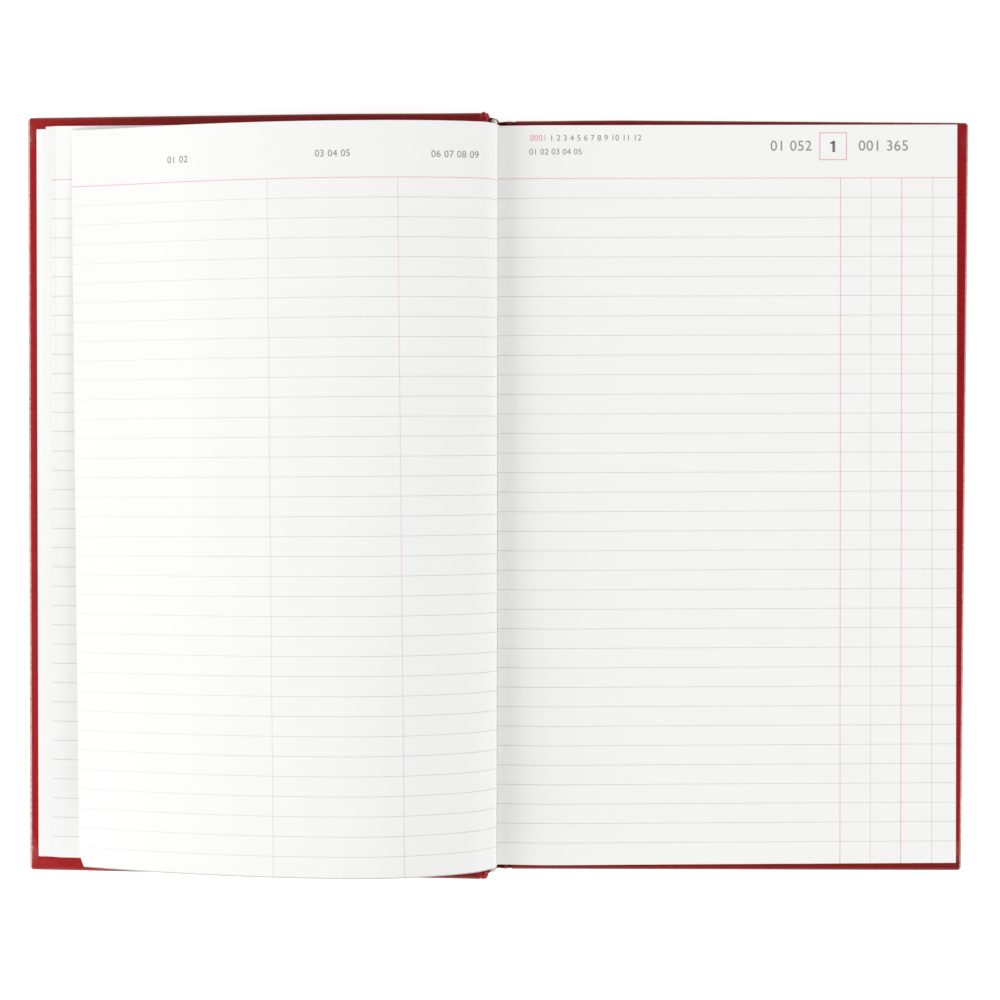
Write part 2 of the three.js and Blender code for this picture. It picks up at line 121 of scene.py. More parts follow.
# Left-hand leaves: name, place in the count from the day page, shortness, lift and rise
LYING_LEAVES = (
    ("front_flyleaf", 3, 4.2, 0.0, 0.0),
    ("lower_leaf", 2, 6.7, 0.6, 1.2),
    ("middle_leaf", 1, 8.7, 1.2, 2.4),
)
LEAF_PITCH = 0.5
SHOULDER_LIFT = 2.2
ARCH = (
    (-0.014, 3.6, 4.6),
    (0.005, 5.2, 8.6),
    (0.09, 10.0, 17.6),
    (0.22, 14.0, 25.0),
    (0.45, 16.0, 26.3),
    (0.68, 12.6, 22.0),
    (0.86, 6.0, 15.6),
    (1.0, 1.75, 9.3),
)
ARCH_REACH = PASTEDOWN_WIDTH - 15.6
ARCH_TAIL_REACH = ARCH_REACH - 4.9

# From the gutter frame, in millimetres, to the row frame, in metres
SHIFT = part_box("back_cover_skin")[1].x / MM - FORE_EDGE
TO_ROW = Matrix.Scale(MM, 4) @ Matrix.Translation((SHIFT, 0, 0))
OPENED = (
    Matrix.Translation((HINGE_X, 0, HINGE_Z))
    @ Matrix.Rotation(-OPENING, 4, "Y")
    @ Matrix.Translation((-HINGE_X, 0, SHUT_FACE - HINGE_Z))
    @ Matrix.Rotation(math.pi, 4, "X")
)
LYING = Matrix.Identity(4)

# The photographed book isn't quite square: its block is turned one way and its back cover the other
BLOCK_TURN = 0.0045
COVER_TURN = 0.004


# Places in the book

def smooth(share):
    share = min(max(share, 0.0), 1.0)
    return share * share * (3 - 2 * share)


def fold_x(z):
    """Back of the leaning block at a height over the table."""
    return BOTTOM_FOLD - BLOCK_LEAN * (z - BLOCK_BASE) / (FOLD_TOP - BLOCK_BASE)


def sheet_fold(height):
    """Fold of the sheet that lies so high in the flat part of the block."""
    return BOTTOM_FOLD - BLOCK_LEAN * height / BLOCK_THICKNESS


def sheet_z(x, height):
    """Height over the table of that sheet, which dips towards its fold."""
    away = (x - sheet_fold(height)) / GUTTER_REACH
    return BLOCK_BASE + height - GUTTER_DIP * (1 - smooth(away)) * height / BLOCK_THICKNESS


def opened(x, z):
    """Where a point of the shut front cover lies once the cover is open."""
    dx, dz = x - HINGE_X, z - HINGE_Z
    cos, sin = math.cos(OPENING), math.sin(OPENING)
    return HINGE_X + dx * cos - dz * sin, HINGE_Z + dx * sin + dz * cos


def over_cover(along, up):
    return opened(HINGE_EDGE + along, SHUT_FACE - PASTEDOWN_TOP - up)


def beside_edge(off, depth):
    return opened(HINGE_EDGE - off, SHUT_FACE - depth)


def block_askew(x, y):
    """Where a point of the block lies, which is turned a little from its folds out."""
    share = smooth((x - 5) / 55)
    return x + share * (0.42 - 0.87 * BLOCK_TURN * y), y + share * 1.11 * BLOCK_TURN * (x - 15)


def near_end(y):
    """0 along most of the book's height, and 1 at the head."""
    return smooth((y - 100) / 50)


def cover_askew(x, y):
    """Where a point of the back cover lies, which is turned the other way from the spine out."""
    share = smooth((x + 0.6) / 6.7)
    waist = 0.7 * (1 - smooth((x - 4) / 50)) * near_end(y)
    return x + share * COVER_TURN * (y + 160), y - share * COVER_TURN * (x - 24) - waist


def front_askew(x, y):
    """Where a point of the front cover lies, drawn with its head down: it narrows a little to the spine."""
    return x, y + 0.56 * (1 - smooth((x - HINGE_EDGE) / 75)) * near_end(-y)


def joint_askew(x, y):
    """Where a point of the leather at the front cover's edge lies."""
    return x, y - 0.6 * near_end(y) + 0.2 * near_end(-y)


def spine_askew(x, y):
    """Where a point of the case's spine lies, whose two ends slope inwards to its top."""
    share = min(max((-0.7 - x) / 5, 0), 1)
    return x, y - share * (2.2 * near_end(y) - 1.8 * near_end(-y))


def spline(points, steps=16):
    """Dense points on the centripetal spline through a row of points."""
    row = [np.array(point, float) for point in points]
    row = [2 * row[0] - row[1], *row, 2 * row[-1] - row[-2]]
    dense = []
    for a, b, c, d in zip(row, row[1:], row[2:], row[3:]):
        before, here, after = (math.sqrt(np.linalg.norm(q - p)) for p, q in ((a, b), (b, c), (c, d)))
        leave = ((b - a) / before - (c - a) / (before + here) + (c - b) / here) * here
        arrive = ((c - b) / here - (d - b) / (here + after) + (d - c) / after) * here
        for k in range(steps):
            t = k / steps
            bend = t * t * (3 - 2 * t)
            dense.append(
                b * (1 - bend) + c * bend + leave * t * (1 - t) ** 2 + arrive * t * t * (t - 1)
            )
    dense.append(row[-2])
    return np.array(dense)


class Line:
    """A smooth line in X and Z that is read by the share of its length."""

    def __init__(self, points, steps=16):
        self.points = spline(points, steps)
        runs = np.linalg.norm(np.diff(self.points, axis=0), axis=1)
        self.lengths = np.concatenate([[0], np.cumsum(runs)])
        self.length = self.lengths[-1]

    def at(self, share):
        run = share * self.length
        return tuple(float(np.interp(run, self.lengths, self.points[:, k])) for k in (0, 1))


class LeafSurface:
    """Middle of a left-hand leaf: a line at the head, one at the tail, and straight rows between them."""

    def __init__(self, head, tail, skew):
        self.head, self.tail, self.skew = head, tail, skew
        self.length = (head.length + tail.length) / 2

    def end(self, line, share, side):
        x, z = line.at(share)
        reach = abs(line.at(1)[0])
        low = 0
        if self.skew < 0:
            low = 0.9 * (1 - smooth(share / 0.05)) if side > 0 else 0.45
        return Vector((x, side * LEAF_HEIGHT / 2 + self.skew * abs(x) / reach - low, z))

    def __call__(self, across, down):
        head = self.end(self.head, across, 1)
        tail = self.end(self.tail, across, -1)
        place = head.lerp(tail, down)
        if self.skew < 0:
            place.x += 1.9 * smooth((down - 0.98) / 0.02) * across ** 12
        return place


def leaf_root(count):
    x = 0.05 - (count + 0.2) * LEAF_PITCH
    return x, sheet_z(x, BLOCK_THICKNESS) + 0.3 + LEAF_THICKNESS / 2


def leaf_line(count, points):
    x, z = leaf_root(count)
    return Line([(x, z), (x - 0.15, z + 4), (x - 0.9, z + 6.8), *points], 24)


def lying_surface(count, short, lift, rise):
    reach = PASTEDOWN_WIDTH - short
    low = 0.35 + lift
    line = leaf_line(count, [
        over_cover(-2.6, 0.7 * SHOULDER_LIFT + lift),
        over_cover(0.01 * reach, SHOULDER_LIFT + lift),
        over_cover(0.07 * reach, 0.8 * SHOULDER_LIFT + lift),
        over_cover(0.3 * reach, low + 0.3 * rise),
        over_cover(0.62 * reach, low),
        over_cover(reach, low),
    ])
    return LeafSurface(line, line, 1)


def arched_surface():
    head = leaf_line(0, [over_cover(share * ARCH_REACH, up) for share, up, _ in ARCH])
    tail = leaf_line(0, [over_cover(share * ARCH_TAIL_REACH, up) for share, _, up in ARCH])
    return LeafSurface(head, tail, -1)


class DayPage:
    """Middle of the top leaf on the right, which lies on the block and dips into the gutter."""

    start = leaf_root(0)[0] + LEAF_THICKNESS / 2 + 0.12
    length = TOP_FOLD + LEAF_WIDTH - start

    def __call__(self, across, down):
        x = self.start + across * self.length
        z = sheet_z(x, BLOCK_THICKNESS) + 0.15
        return Vector((x, LEAF_HEIGHT * (0.5 - down), z))


# Modelling by hand, in code

def alone(obj):
    """Selects only this object, and makes it the active one."""
    bpy.ops.object.select_all(action="DESELECT")
    obj.select_set(True)
    bpy.context.view_layer.objects.active = obj
    return obj


def new_object(name):
    obj = bpy.context.object
    obj.name = obj.data.name = name
    return alone(obj)


def box(name, low, high):
    middle = [(a + b) / 2 for a, b in zip(low, high)]
    bpy.ops.object.select_all(action="DESELECT")
    bpy.ops.mesh.primitive_cube_add(size=1, location=middle)
    obj = new_object(name)
    obj.scale = [b - a for a, b in zip(low, high)]
    bpy.ops.object.transform_apply(location=True, rotation=False, scale=True)
    return obj


def rework(obj, operation, kind, test, **settings):
    """Runs an edit-mode operation on the edges or faces that pass a test.

    An edge is tested by its two ends, and a face by its centre and its normal.
    """
    alone(obj)
    bpy.ops.object.mode_set(mode="EDIT")
    bpy.ops.mesh.select_mode(type=kind)
    bpy.ops.mesh.select_all(action="DESELECT")
    bpy.ops.object.mode_set(mode="OBJECT")
    for edge in obj.data.edges if kind == "EDGE" else ():
        edge.select = test(*(obj.data.vertices[i].co for i in edge.vertices))
    for face in obj.data.polygons if kind == "FACE" else ():
        face.select = test(face.center, face.normal)
    bpy.ops.object.mode_set(mode="EDIT")
    operation(**settings)
    bpy.ops.object.mode_set(mode="OBJECT")


def cut(obj, place, normal, test=lambda centre, facing: True):
    """Cuts the faces that pass a test along a plane."""
    rework(obj, bpy.ops.mesh.bisect, "FACE", test, plane_co=place, plane_no=normal)


def finish_with(obj, kind, **settings):
    """Adds a modifier and applies it."""
    alone(obj)
    modifier = obj.modifiers.new(kind.title(), kind)
    for name, value in settings.items():
        setattr(modifier, name, value)
    bpy.ops.object.modifier_apply(modifier=modifier.name)
    return obj


def close_up(obj, outward=True):
    """Merges doubles, and for a closed shape turns every face outwards."""
    alone(obj)
    bpy.ops.object.mode_set(mode="EDIT")
    bpy.ops.mesh.select_all(action="SELECT")
    bpy.ops.mesh.remove_doubles(threshold=1e-5)
    if outward:
        bpy.ops.mesh.normals_make_consistent(inside=False)
    bpy.ops.object.mode_set(mode="OBJECT")
    return obj


def settle(obj, place=LYING, angle=40, askew=None):
    """Smooths a finished piece, moves it out of square and puts it into the row frame."""
    alone(obj)
    bpy.ops.object.shade_smooth_by_angle(angle=math.radians(angle))
    if askew:
        for vertex in obj.data.vertices:
            vertex.co.xy = askew(vertex.co.x, vertex.co.y)
    obj.data.transform(TO_ROW @ place)
    obj.data.update()
    return obj


def joined(objects, name):
    bpy.ops.object.select_all(action="DESELECT")
    for obj in objects:
        obj.select_set(True)
    bpy.context.view_layer.objects.active = objects[0]
    if len(objects) > 1:
        bpy.ops.object.join()
    return new_object(name)


def loft(name, point, columns, rows, thickness, leftward=False, crowd=1.0):
    """Sheet from a grid whose corners go where point(across, down) says, given its thickness.

    Its UV map holds across and down. A leftward sheet runs to the left as across grows.
    """
    bpy.ops.object.select_all(action="DESELECT")
    bpy.ops.mesh.primitive_grid_add(x_subdivisions=columns, y_subdivisions=rows, size=1)
    obj = new_object(name)
    shares = []
    for vertex in obj.data.vertices:
        across = 0.5 - vertex.co.x if leftward else 0.5 + vertex.co.x
        shares.append((min(max(across, 0), 1) ** crowd, min(max(0.5 - vertex.co.y, 0), 1)))
        vertex.co = point(*shares[-1])
    corners = obj.data.uv_layers[0].data
    for loop in obj.data.loops:
        corners[loop.index].uv = shares[loop.vertex_index]
    obj.data.update()
    return finish_with(obj, "SOLIDIFY", thickness=thickness, offset=0, use_even_offset=False)


def tube(name, points, radii, sides=5):
    """Round tube along a row of points, with its own radius at each."""
    curve = bpy.data.curves.new(name, "CURVE")
    curve.dimensions = "3D"
    curve.bevel_depth = 1
    curve.bevel_resolution = sides
    curve.use_fill_caps = True
    run = curve.splines.new("POLY")
    run.points.add(len(points) - 1)
    for knot, point, radius in zip(run.points, points, radii):
        knot.co = (*point, 1)
        knot.radius = radius
    obj = bpy.data.objects.new(name, curve)
    bpy.context.scene.collection.objects.link(obj)
    alone(obj)
    bpy.ops.object.convert(target="MESH")
    return close_up(new_object(name))


# Materials

COLOUR = {"data_type": "RGBA", "out": 2}
PEBBLE = 0.9
INK_BLUR = 0.05
RULE_COUNT = 34
DAY_COLUMNS = ((142.6, 1.0), (155.3, 0.6), (168.1, 1.0), (181.0, 0.6))
ADDRESS_COLUMNS = ((50.3, 0.6), (104.8, 0.5))


def linear(colour):
    """An sRGB hex colour as linear red, green, blue and alpha."""
    channels = [int(colour[i:i + 2], 16) / 255 for i in (1, 3, 5)]
    return (*[c / 12.92 if c <= 0.04045 else ((c + 0.055) / 1.055) ** 2.4 for c in channels], 1)


def add(tree, kind, inputs=(), out=0, **settings):
    """Adds a node with its settings, sets or links its inputs, and returns one of its outputs.

    Inputs are in order, or in a dictionary by name or number. With out=None all outputs are returned.
    """
    node = tree.nodes.new("ShaderNode" + kind)
    for name, value in settings.items():
        setattr(node, name, value)
    for name, value in (inputs if isinstance(inputs, dict) else dict(enumerate(inputs))).items():
        if isinstance(value, bpy.types.NodeSocket):
            tree.links.new(value, node.inputs[name])
        else:
            node.inputs[name].default_value = value
    return node.outputs if out is None else node.outputs[out]


def new_material(name):
    """A material with an empty node tree, and that tree."""
    material = bpy.data.materials.new(name)
    material.use_nodes = True
    material.node_tree.nodes.clear()
    return material, material.node_tree


def surface(tree, colour, relief=None, **inputs):
    """Ends a finish with its shader and output. Relief is a height, its strength and its depth in mm."""
    if relief:
        height, strength, depth = relief
        bump = {"Height": height, "Strength": strength, "Distance": depth * MM}
        inputs["Normal"] = add(tree, "Bump", bump)
    shader = add(tree, "BsdfPrincipled", {"Base Color": colour, **inputs})
    add(tree, "OutputMaterial", {"Surface": shader}, None)


def in_mm(tree):
    """The place in the object, counted in millimetres."""
    place = add(tree, "TexCoord", out="Object")
    return add(tree, "Mapping", {"Vector": place, "Scale": (1 / MM,) * 3})


def painted_edge_light(tree, place, colour):
    """Painted light on a cover's edges: painted shade at the head and the tail, painted pale highlights in
    specks along the rounding of the fore edge, and painted brown shade on the edges that face outwards.
    """
    facing = add(tree, "SeparateXYZ", [add(tree, "TexCoord", out="Normal")], None)
    x, y, _ = add(tree, "SeparateXYZ", [place], None)
    fore, end, away = (
        add(tree, "Math", [value], operation="ABSOLUTE") for value in (facing[0], facing[1], x)
    )
    ramps = {
        "head": (y, 147, 156), "off corners": (away, 190, 140),
        "tail": (y, -151, -156), "right part": (x, -70, -20), "not below": (facing[2], -0.2, 0.3),
        "turning": (fore, 0.3, 0.45), "not upright": (fore, 0.8, 0.66), "fore edge": (away, 150, 190),
        "upright": (fore, 0.7, 0.85), "end": (end, 0.1, 0.5),
    }
    masks = {name: add(tree, "MapRange", ramp) for name, ramp in ramps.items()}
    head = add(tree, "Math", (masks["head"], masks["off corners"]), operation="MULTIPLY")
    tail = add(tree, "Math", (masks["tail"], masks["right part"]), operation="MULTIPLY")
    # Painted shade on the head and tail strips, where the leaves and the block cast shade.
    painted_end_shade = add(tree, "Math", (head, 0.4), operation="MULTIPLY")
    painted_end_shade = add(tree, "Math", (tail, 0.5, painted_end_shade), operation="MULTIPLY_ADD")
    painted_end_shade = add(tree, "Math", (painted_end_shade, masks["not below"]), operation="MULTIPLY")
    speck = add(tree, "TexNoise", {"Vector": place, "Scale": 0.7, "Detail": 4.0})
    # Painted pale highlight in specks on the rounding of the fore edge, masked by the normal's tilt.
    painted_highlight = add(tree, "Math", (speck, 1.6, -0.15), operation="MULTIPLY_ADD", use_clamp=True)
    for name in ("turning", "not upright", "fore edge"):
        painted_highlight = add(tree, "Math", (painted_highlight, masks[name]), operation="MULTIPLY")
    # Painted brown shade on the faces that turn outwards, chosen by their normal.
    painted_side_shade = add(tree, "Math", (masks["upright"], masks["end"]), operation="MAXIMUM")
    painted_side_shade = add(tree, "Math", (painted_side_shade, 0.75), operation="MULTIPLY")
    for share, tone in ((painted_end_shade, "#300604"), (painted_highlight, "#f0ccc4"), (painted_side_shade, "#6e3424")):
        colour = add(tree, "Mix", {0: share, 6: colour, 7: linear(tone)}, **COLOUR)
    return colour


def leather_cloth(tree, place, colours, painted_shade=0.0, edges=False):
    """Bonded leather cloth, dyed red, embossed with a fine grain and lightly glazed.

    The eye sees small pebbles with darker valleys and a soft gloss. On a cover, pale highlights are painted
    where the cloth turns over the edge of the board, and shade is painted at its ends and outer edges. The
    real pebbles are about 0.6 mm; they are drawn at 0.9 mm to show.
    Where the cloth lies folded in a joint, or turned in inside the spine's hollow, shade is painted into its
    colour and makes it nearly black.
    """
    drift, tone, fine = (
        add(tree, "TexNoise", {"Vector": place, "Scale": scale, "Detail": detail})
        for scale, detail in ((0.04, 3.0), (0.35, 4.0), (4.0, 2.0))
    )
    warp = add(tree, "TexNoise", {"Vector": place, "Scale": 0.9, "Detail": 2.0}, "Color")
    bent = add(tree, "VectorMath", (place, warp), operation="ADD")
    pebble = add(tree, "TexVoronoi", {"Vector": bent, "Scale": 1 / PEBBLE}, "Distance", feature="SMOOTH_F1")
    valley = add(tree, "MapRange", (pebble, 0.35, 0.75))
    valley = add(tree, "Math", (valley, 0.5), operation="MULTIPLY")
    tint = add(tree, "Math", (tone, 0.35, -0.08), operation="MULTIPLY_ADD", use_clamp=True)
    dye_and_painted_light = colours.leather_dark
    # The last mix, near black #30080a, is painted shade for the cloth that lies in a joint's fold.
    for share, over in (
        (drift, colours.leather), (valley, colours.leather_valley), (tint, colours.leather_bright),
        (painted_shade, linear("#30080a")),
    ):
        dye_and_painted_light = add(tree, "Mix", {0: share, 6: dye_and_painted_light, 7: over}, **COLOUR)
    # A cover gets painted shade and painted highlights on its edges.
    if edges:
        dye_and_painted_light = painted_edge_light(tree, place, dye_and_painted_light)
    sunk = add(tree, "Math", (pebble, -1.0), operation="MULTIPLY")
    height = add(tree, "Math", (fine, 0.25, sunk), operation="MULTIPLY_ADD")
    gloss = add(tree, "MapRange", (tone, 0, 1, 0.26 + painted_shade, 0.4 + 0.7 * painted_shade))
    specular = {"Specular IOR Level": 0.1 if painted_shade else 0.45}
    surface(tree, dye_and_painted_light, (height, 0.35, 0.12), Roughness=gloss, IOR=1.46, **specular)


def fibres(tree, place, scale, stretch=(1, 1, 1)):
    """Cloudy noise of pressed fibres, drawn out along one way."""
    drawn = add(tree, "Mapping", {"Vector": place, "Scale": stretch})
    return add(tree, "TexNoise", {"Vector": drawn, "Scale": scale, "Detail": 5.0, "Roughness": 0.65})


def paper_base(tree, place, white, shade):
    """Colour and relief of smooth uncoated paper, which clouds a little and has a faint tooth."""
    cloud = fibres(tree, place, 0.05)
    tooth = fibres(tree, place, 1.6, (1, 0.5, 1))
    shaded = add(tree, "Math", (cloud, 0.5), operation="MULTIPLY")
    colour = add(tree, "Mix", {0: shaded, 6: white, 7: shade}, **COLOUR)
    return colour, (add(tree, "Math", (cloud, 3.0, tooth), operation="MULTIPLY_ADD"), 0.12, 0.05)


def plain_paper(tree, place, white, shade):
    """Uncoated wove paper, calendered smooth. The eye sees an even white with no gleam."""
    surface(tree, *paper_base(tree, place, white, shade), Roughness=0.82, IOR=1.45)


def near(tree, place, middle, width):
    """1 where a place is within a printed line's width of its middle, and 0 off it."""
    off = add(tree, "Math", (place, middle), operation="SUBTRACT")
    off = add(tree, "Math", [off], operation="ABSOLUTE")
    return add(tree, "MapRange", (off, width / 2 - INK_BLUR, width / 2 + INK_BLUR, 1, 0))


def ruled_paper(
    tree, place, sizes, colours, width, columns, drop=0.0, tilt=0.0, fade=0.0, height=LEAF_HEIGHT, white=None,
):
    """Writing paper, printed offset in grey and red with fine rules that follow the sheet.

    columns holds the distance of each red upright from the fold in mm, and its strength. The print stands
    lower than planned by drop, and by tilt more for each mm from the fold. The rules fade by a share towards
    the fore edge, and where they fade a grey shadow line is painted along the cut edge at the tail. A white,
    when given, is used for the paper: the lower page gets a lighter one, painted light against its shade.
    """
    colour, relief = paper_base(tree, place, white or colours.paper, colours.paper_shade)
    flat = add(tree, "TexCoord", out="UV")
    placed = add(tree, "Mapping", {"Vector": flat, "Scale": (width, height, 1)})
    across, down, _ = add(tree, "SeparateXYZ", [placed], None)
    sunk = add(tree, "Math", (across, -tilt, down), operation="MULTIPLY_ADD")
    below = add(tree, "Math", (sunk, sizes.header + drop), operation="SUBTRACT")
    count = add(tree, "Math", (below, sizes.rule_pitch), operation="DIVIDE")
    kept = add(tree, "Math", [count], operation="ROUND")
    for operation, bound in (("MAXIMUM", 1), ("MINIMUM", RULE_COUNT)):
        kept = add(tree, "Math", (kept, bound), operation=operation)
    off = add(tree, "Math", (count, kept), operation="SUBTRACT")
    off = add(tree, "Math", (off, sizes.rule_pitch), operation="MULTIPLY")
    grey = near(tree, off, 0.0, sizes.rule_width)
    under_header = add(tree, "Math", (below, 0.0), operation="GREATER_THAN")
    red = near(tree, below, 0.0, sizes.rule_width * 1.15)
    for column, strength in columns:
        upright = near(tree, across, column, sizes.rule_width * 1.2)
        for share in (under_header, strength):
            upright = add(tree, "Math", (upright, share), operation="MULTIPLY")
        red = add(tree, "Math", (red, upright), operation="MAXIMUM")
    wear = add(tree, "TexNoise", {"Vector": place, "Scale": 0.8, "Detail": 2.0})
    ink = add(tree, "Math", (wear, 0.4, 0.7), operation="MULTIPLY_ADD", use_clamp=True)
    if fade:
        faded = add(tree, "MapRange", (across, 0.3 * width, 0.95 * width, 1, 1 - fade))
        grey = add(tree, "Math", (grey, faded), operation="MULTIPLY")
        # Painted grey shadow line along the cut edge at the tail.
        painted_tail_shadow = add(tree, "Math", (down, height - 0.4), operation="GREATER_THAN")
        painted_tail_shadow = add(tree, "Math", (painted_tail_shadow, 0.6), operation="MULTIPLY")
        colour = add(tree, "Mix", {0: painted_tail_shadow, 6: colour, 7: linear("#8d8f8e")}, **COLOUR)
    for lines, dye in ((grey, colours.grey_rule), (red, colours.red_rule)):
        lines = add(tree, "Math", (lines, ink), operation="MULTIPLY")
        colour = add(tree, "Mix", {0: lines, 6: colour, 7: dye}, **COLOUR)
    surface(tree, colour, relief, Roughness=0.8, IOR=1.45)


def printed_ink(tree, place, colour):
    """Offset ink soaked into paper: matt, with faint gaps where the paper's tooth shows."""
    speck = add(tree, "TexNoise", {"Vector": place, "Scale": 2.0, "Detail": 3.0})
    gap = add(tree, "Math", (speck, 0.3), operation="MULTIPLY")
    shown = add(tree, "Mix", {0: gap, 6: colour, 7: linear("#f4f4f2")}, **COLOUR)
    surface(tree, shown, Roughness=0.75, IOR=1.45)


def pressed_board(tree, place, colour, dark, pitch):
    """Board pressed from mixed waste fibres: rough, with flecks drawn out along the board."""
    grain = fibres(tree, place, 1 / pitch, (1, 0.25, 2))
    fleck = add(tree, "TexVoronoi", {"Vector": place, "Scale": 0.8}, "Distance")
    spots = add(tree, "MapRange", (fleck, 0.1, 0.2))
    toned = add(tree, "Mix", {0: grain, 6: dark, 7: colour}, **COLOUR)
    shown = add(tree, "Mix", {0: spots, 6: linear("#5d564c"), 7: toned}, **COLOUR)
    surface(tree, shown, (grain, 0.4, 0.1), Roughness=0.92)


def woven_cotton(tree, place, colour, dark, pitch):
    """Plain weave of cotton threads at a real pitch in mm: thread over thread, with dark gaps."""
    weave = {"Vector": place, "Scale": 0.314 / pitch, "Distortion": 0.6, "Detail": 1.0}
    along, across, up = (add(tree, "TexWave", weave, bands_direction=axis) for axis in ("X", "Y", "Z"))
    thread = add(tree, "Math", (along, up), operation="MULTIPLY")
    thread = add(tree, "Math", (thread, across), operation="MAXIMUM")
    fuzz = add(tree, "Math", (fibres(tree, place, 3.0), 0.25), operation="MULTIPLY")
    toned = add(tree, "Mix", {0: thread, 6: dark, 7: colour}, **COLOUR)
    shown = add(tree, "Mix", {0: fuzz, 6: toned, 7: dark}, **COLOUR)
    surface(tree, shown, (thread, 0.5, 0.1), **{"Roughness": 0.95, "Sheen Weight": 0.2})


def wound_thread(tree, place, colour, dark):
    """Mercerised cotton thread, wound turn by turn: fine slanted strands with a faint silky gleam."""
    turned = add(tree, "Mapping", {"Vector": place, "Rotation": (0.5, 0.4, 0)})
    winding = {"Vector": turned, "Scale": 1.4, "Distortion": 1.5, "Detail": 2.0}
    strand = add(tree, "TexWave", winding, bands_direction="Z")
    shown = add(tree, "Mix", {0: strand, 6: dark, 7: colour}, **COLOUR)
    surface(tree, shown, (strand, 0.4, 0.05), **{"Roughness": 0.7, "Sheen Weight": 0.3})


def make_materials(sizes, colours):
    """Every finish of the object, by the name that the pieces ask for."""
    day_columns = [(column - DayPage.start, strength) for column, strength in DAY_COLUMNS]
    made = {}
    for finish, name, kind, *settings in (
        ("leather", "bonded_leather_cloth_embossed", leather_cloth, colours),
        # The cover's cloth carries painted shade and painted highlights on its edges.
        ("cover", "bonded_leather_cloth_on_board", leather_cloth, colours, 0.0, True),
        # Cloth in the joints' folds and the spine's turn-ins, with painted shade that makes it nearly black.
        ("crease", "bonded_leather_cloth_painted_shade", leather_cloth, colours, 0.7),
        ("paper", "writing_paper_calendered", plain_paper, colours.paper, colours.paper_shade),
        ("endpaper", "endpaper_wove", plain_paper, linear("#f9f9f7"), linear("#f0f0ee")),
        ("day_page", "day_page_offset_ruled", ruled_paper, sizes, colours, DayPage.length, day_columns),
        ("address_page", "address_page_offset_ruled", ruled_paper, sizes, colours, LEAF_WIDTH,
         ADDRESS_COLUMNS, 1.1, 0.003, 0.6, LEAF_HEIGHT + 0.9),
        # The lower page is drawn on a paper lighter than the real one: painted light against the shade of the
        # arched leaf above it.
        ("lower_page", "lower_page_offset_ruled", ruled_paper, sizes, colours, LEAF_WIDTH,
         ADDRESS_COLUMNS, 0.4, 0.0, 0.0, LEAF_HEIGHT, linear("#fafaf9")),
        ("grey_ink", "grey_ink_offset", printed_ink, linear("#6f6f73")),
        ("dark_ink", "dark_ink_offset", printed_ink, linear("#3d3d40")),
        ("red_ink", "red_ink_offset", printed_ink, linear("#e8837f")),
        ("board", "grey_board_pressed", pressed_board, linear("#8d867a"), linear("#7b7468"), 0.8),
        ("card", "manila_card_rolled", pressed_board, linear("#b9a98a"), linear("#ab9a79"), 0.5),
        ("kraft", "kraft_paper_machine_glazed", pressed_board, linear("#b58d5c"), linear("#a47b4b"), 0.4),
        ("gauze", "mull_gauze_starched", woven_cotton, linear("#e4dfd2"), linear("#a8a293"), 1.0),
        ("tape", "headband_tape_woven", woven_cotton, linear("#efeae0"), linear("#cfc8b8"), 0.5),
        ("thread", "cotton_thread_mercerised", wound_thread, linear("#f3efe6"), linear("#d8d1c1")),
    ):
        material, tree = new_material(name)
        kind(tree, in_mm(tree), *settings)
        made[finish] = material
    return made


finishes = {}


def dress(obj, finish):
    """Gives a new piece its finish."""
    obj.data.materials.clear()
    obj.data.materials.append(finishes[finish])
    return obj


def dress_node(name, finish):
    """Gives a CAD node that is shown its finish."""
    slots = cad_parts[name].data.materials
    slots.clear()
    slots.append(finishes[finish])


# Settings

def size_setting(name, about, default):
    return FloatProperty(name=name, description=f"{about}, in mm", default=default)


def colour_setting(name, about, colour):
    return FloatVectorProperty(
        name=name, description=about, subtype="COLOR", size=4, default=linear(colour),
    )


class DIARY_PG_sizes(bpy.types.PropertyGroup):
    rule_pitch: size_setting("Rule pitch", "Distance between two rules", 8.14)
    rule_width: size_setting("Rule width", "Width of a printed rule", 0.22)
    header: size_setting("Header", "Head of the page to the red rule", 22.0)
    edge_round: size_setting("Cover edge", "Rounding of the cover edges", 1.15)
    turn_in_ridge: size_setting("Corner fold", "Height of the corner folds", 0.3)
    sheets: IntProperty(name="Sheets", description="Folded sheets drawn in each section", default=4, min=1)


class DIARY_PG_colours(bpy.types.PropertyGroup):
    leather: colour_setting("Leather", "Dyed leather cloth", "#ae0f14")
    leather_dark: colour_setting("Leather, dark", "Darker areas of the cloth", "#9a0b10")
    leather_valley: colour_setting("Leather, valleys", "Dye in the grain's valleys", "#6e080a")
    leather_bright: colour_setting("Leather, bright", "Rubbed tops of the grain", "#be1c20")
    paper: colour_setting("Paper", "Writing paper", "#f5f5f4")
    paper_shade: colour_setting("Paper, shade", "Clouds in the writing paper", "#efefef")
    grey_rule: colour_setting("Grey rule", "Grey ink of the rules", "#c6c6c8")
    red_rule: colour_setting("Red rule", "Red ink of the rules", "#e98b89")


class DIARY_OT_finishes(bpy.types.Operator):
    """Makes the finishes, and dresses the CAD nodes that stay in view"""

    bl_idname = "diary.finishes"
    bl_label = "Finishes"

    def execute(self, context):
        sizes = context.scene.diary_sizes
        colours = context.scene.diary_colours
        finishes.update(make_materials(sizes, colours))
        for side in ("back", "front"):
            dress_node(f"{side}_mull_flange", "gauze")
        dress_node("spine_mull", "gauze")
        dress_node("spine_lining", "kraft")
        return {"FINISHED"}


# Case

BEND_CUTS = (20, 36, 52, 68)


def copied(made, name):
    """A copy of a shape, with its own mesh."""
    piece = made.copy()
    piece.data = made.data.copy()
    piece.name = name
    bpy.context.scene.collection.objects.link(piece)
    return piece


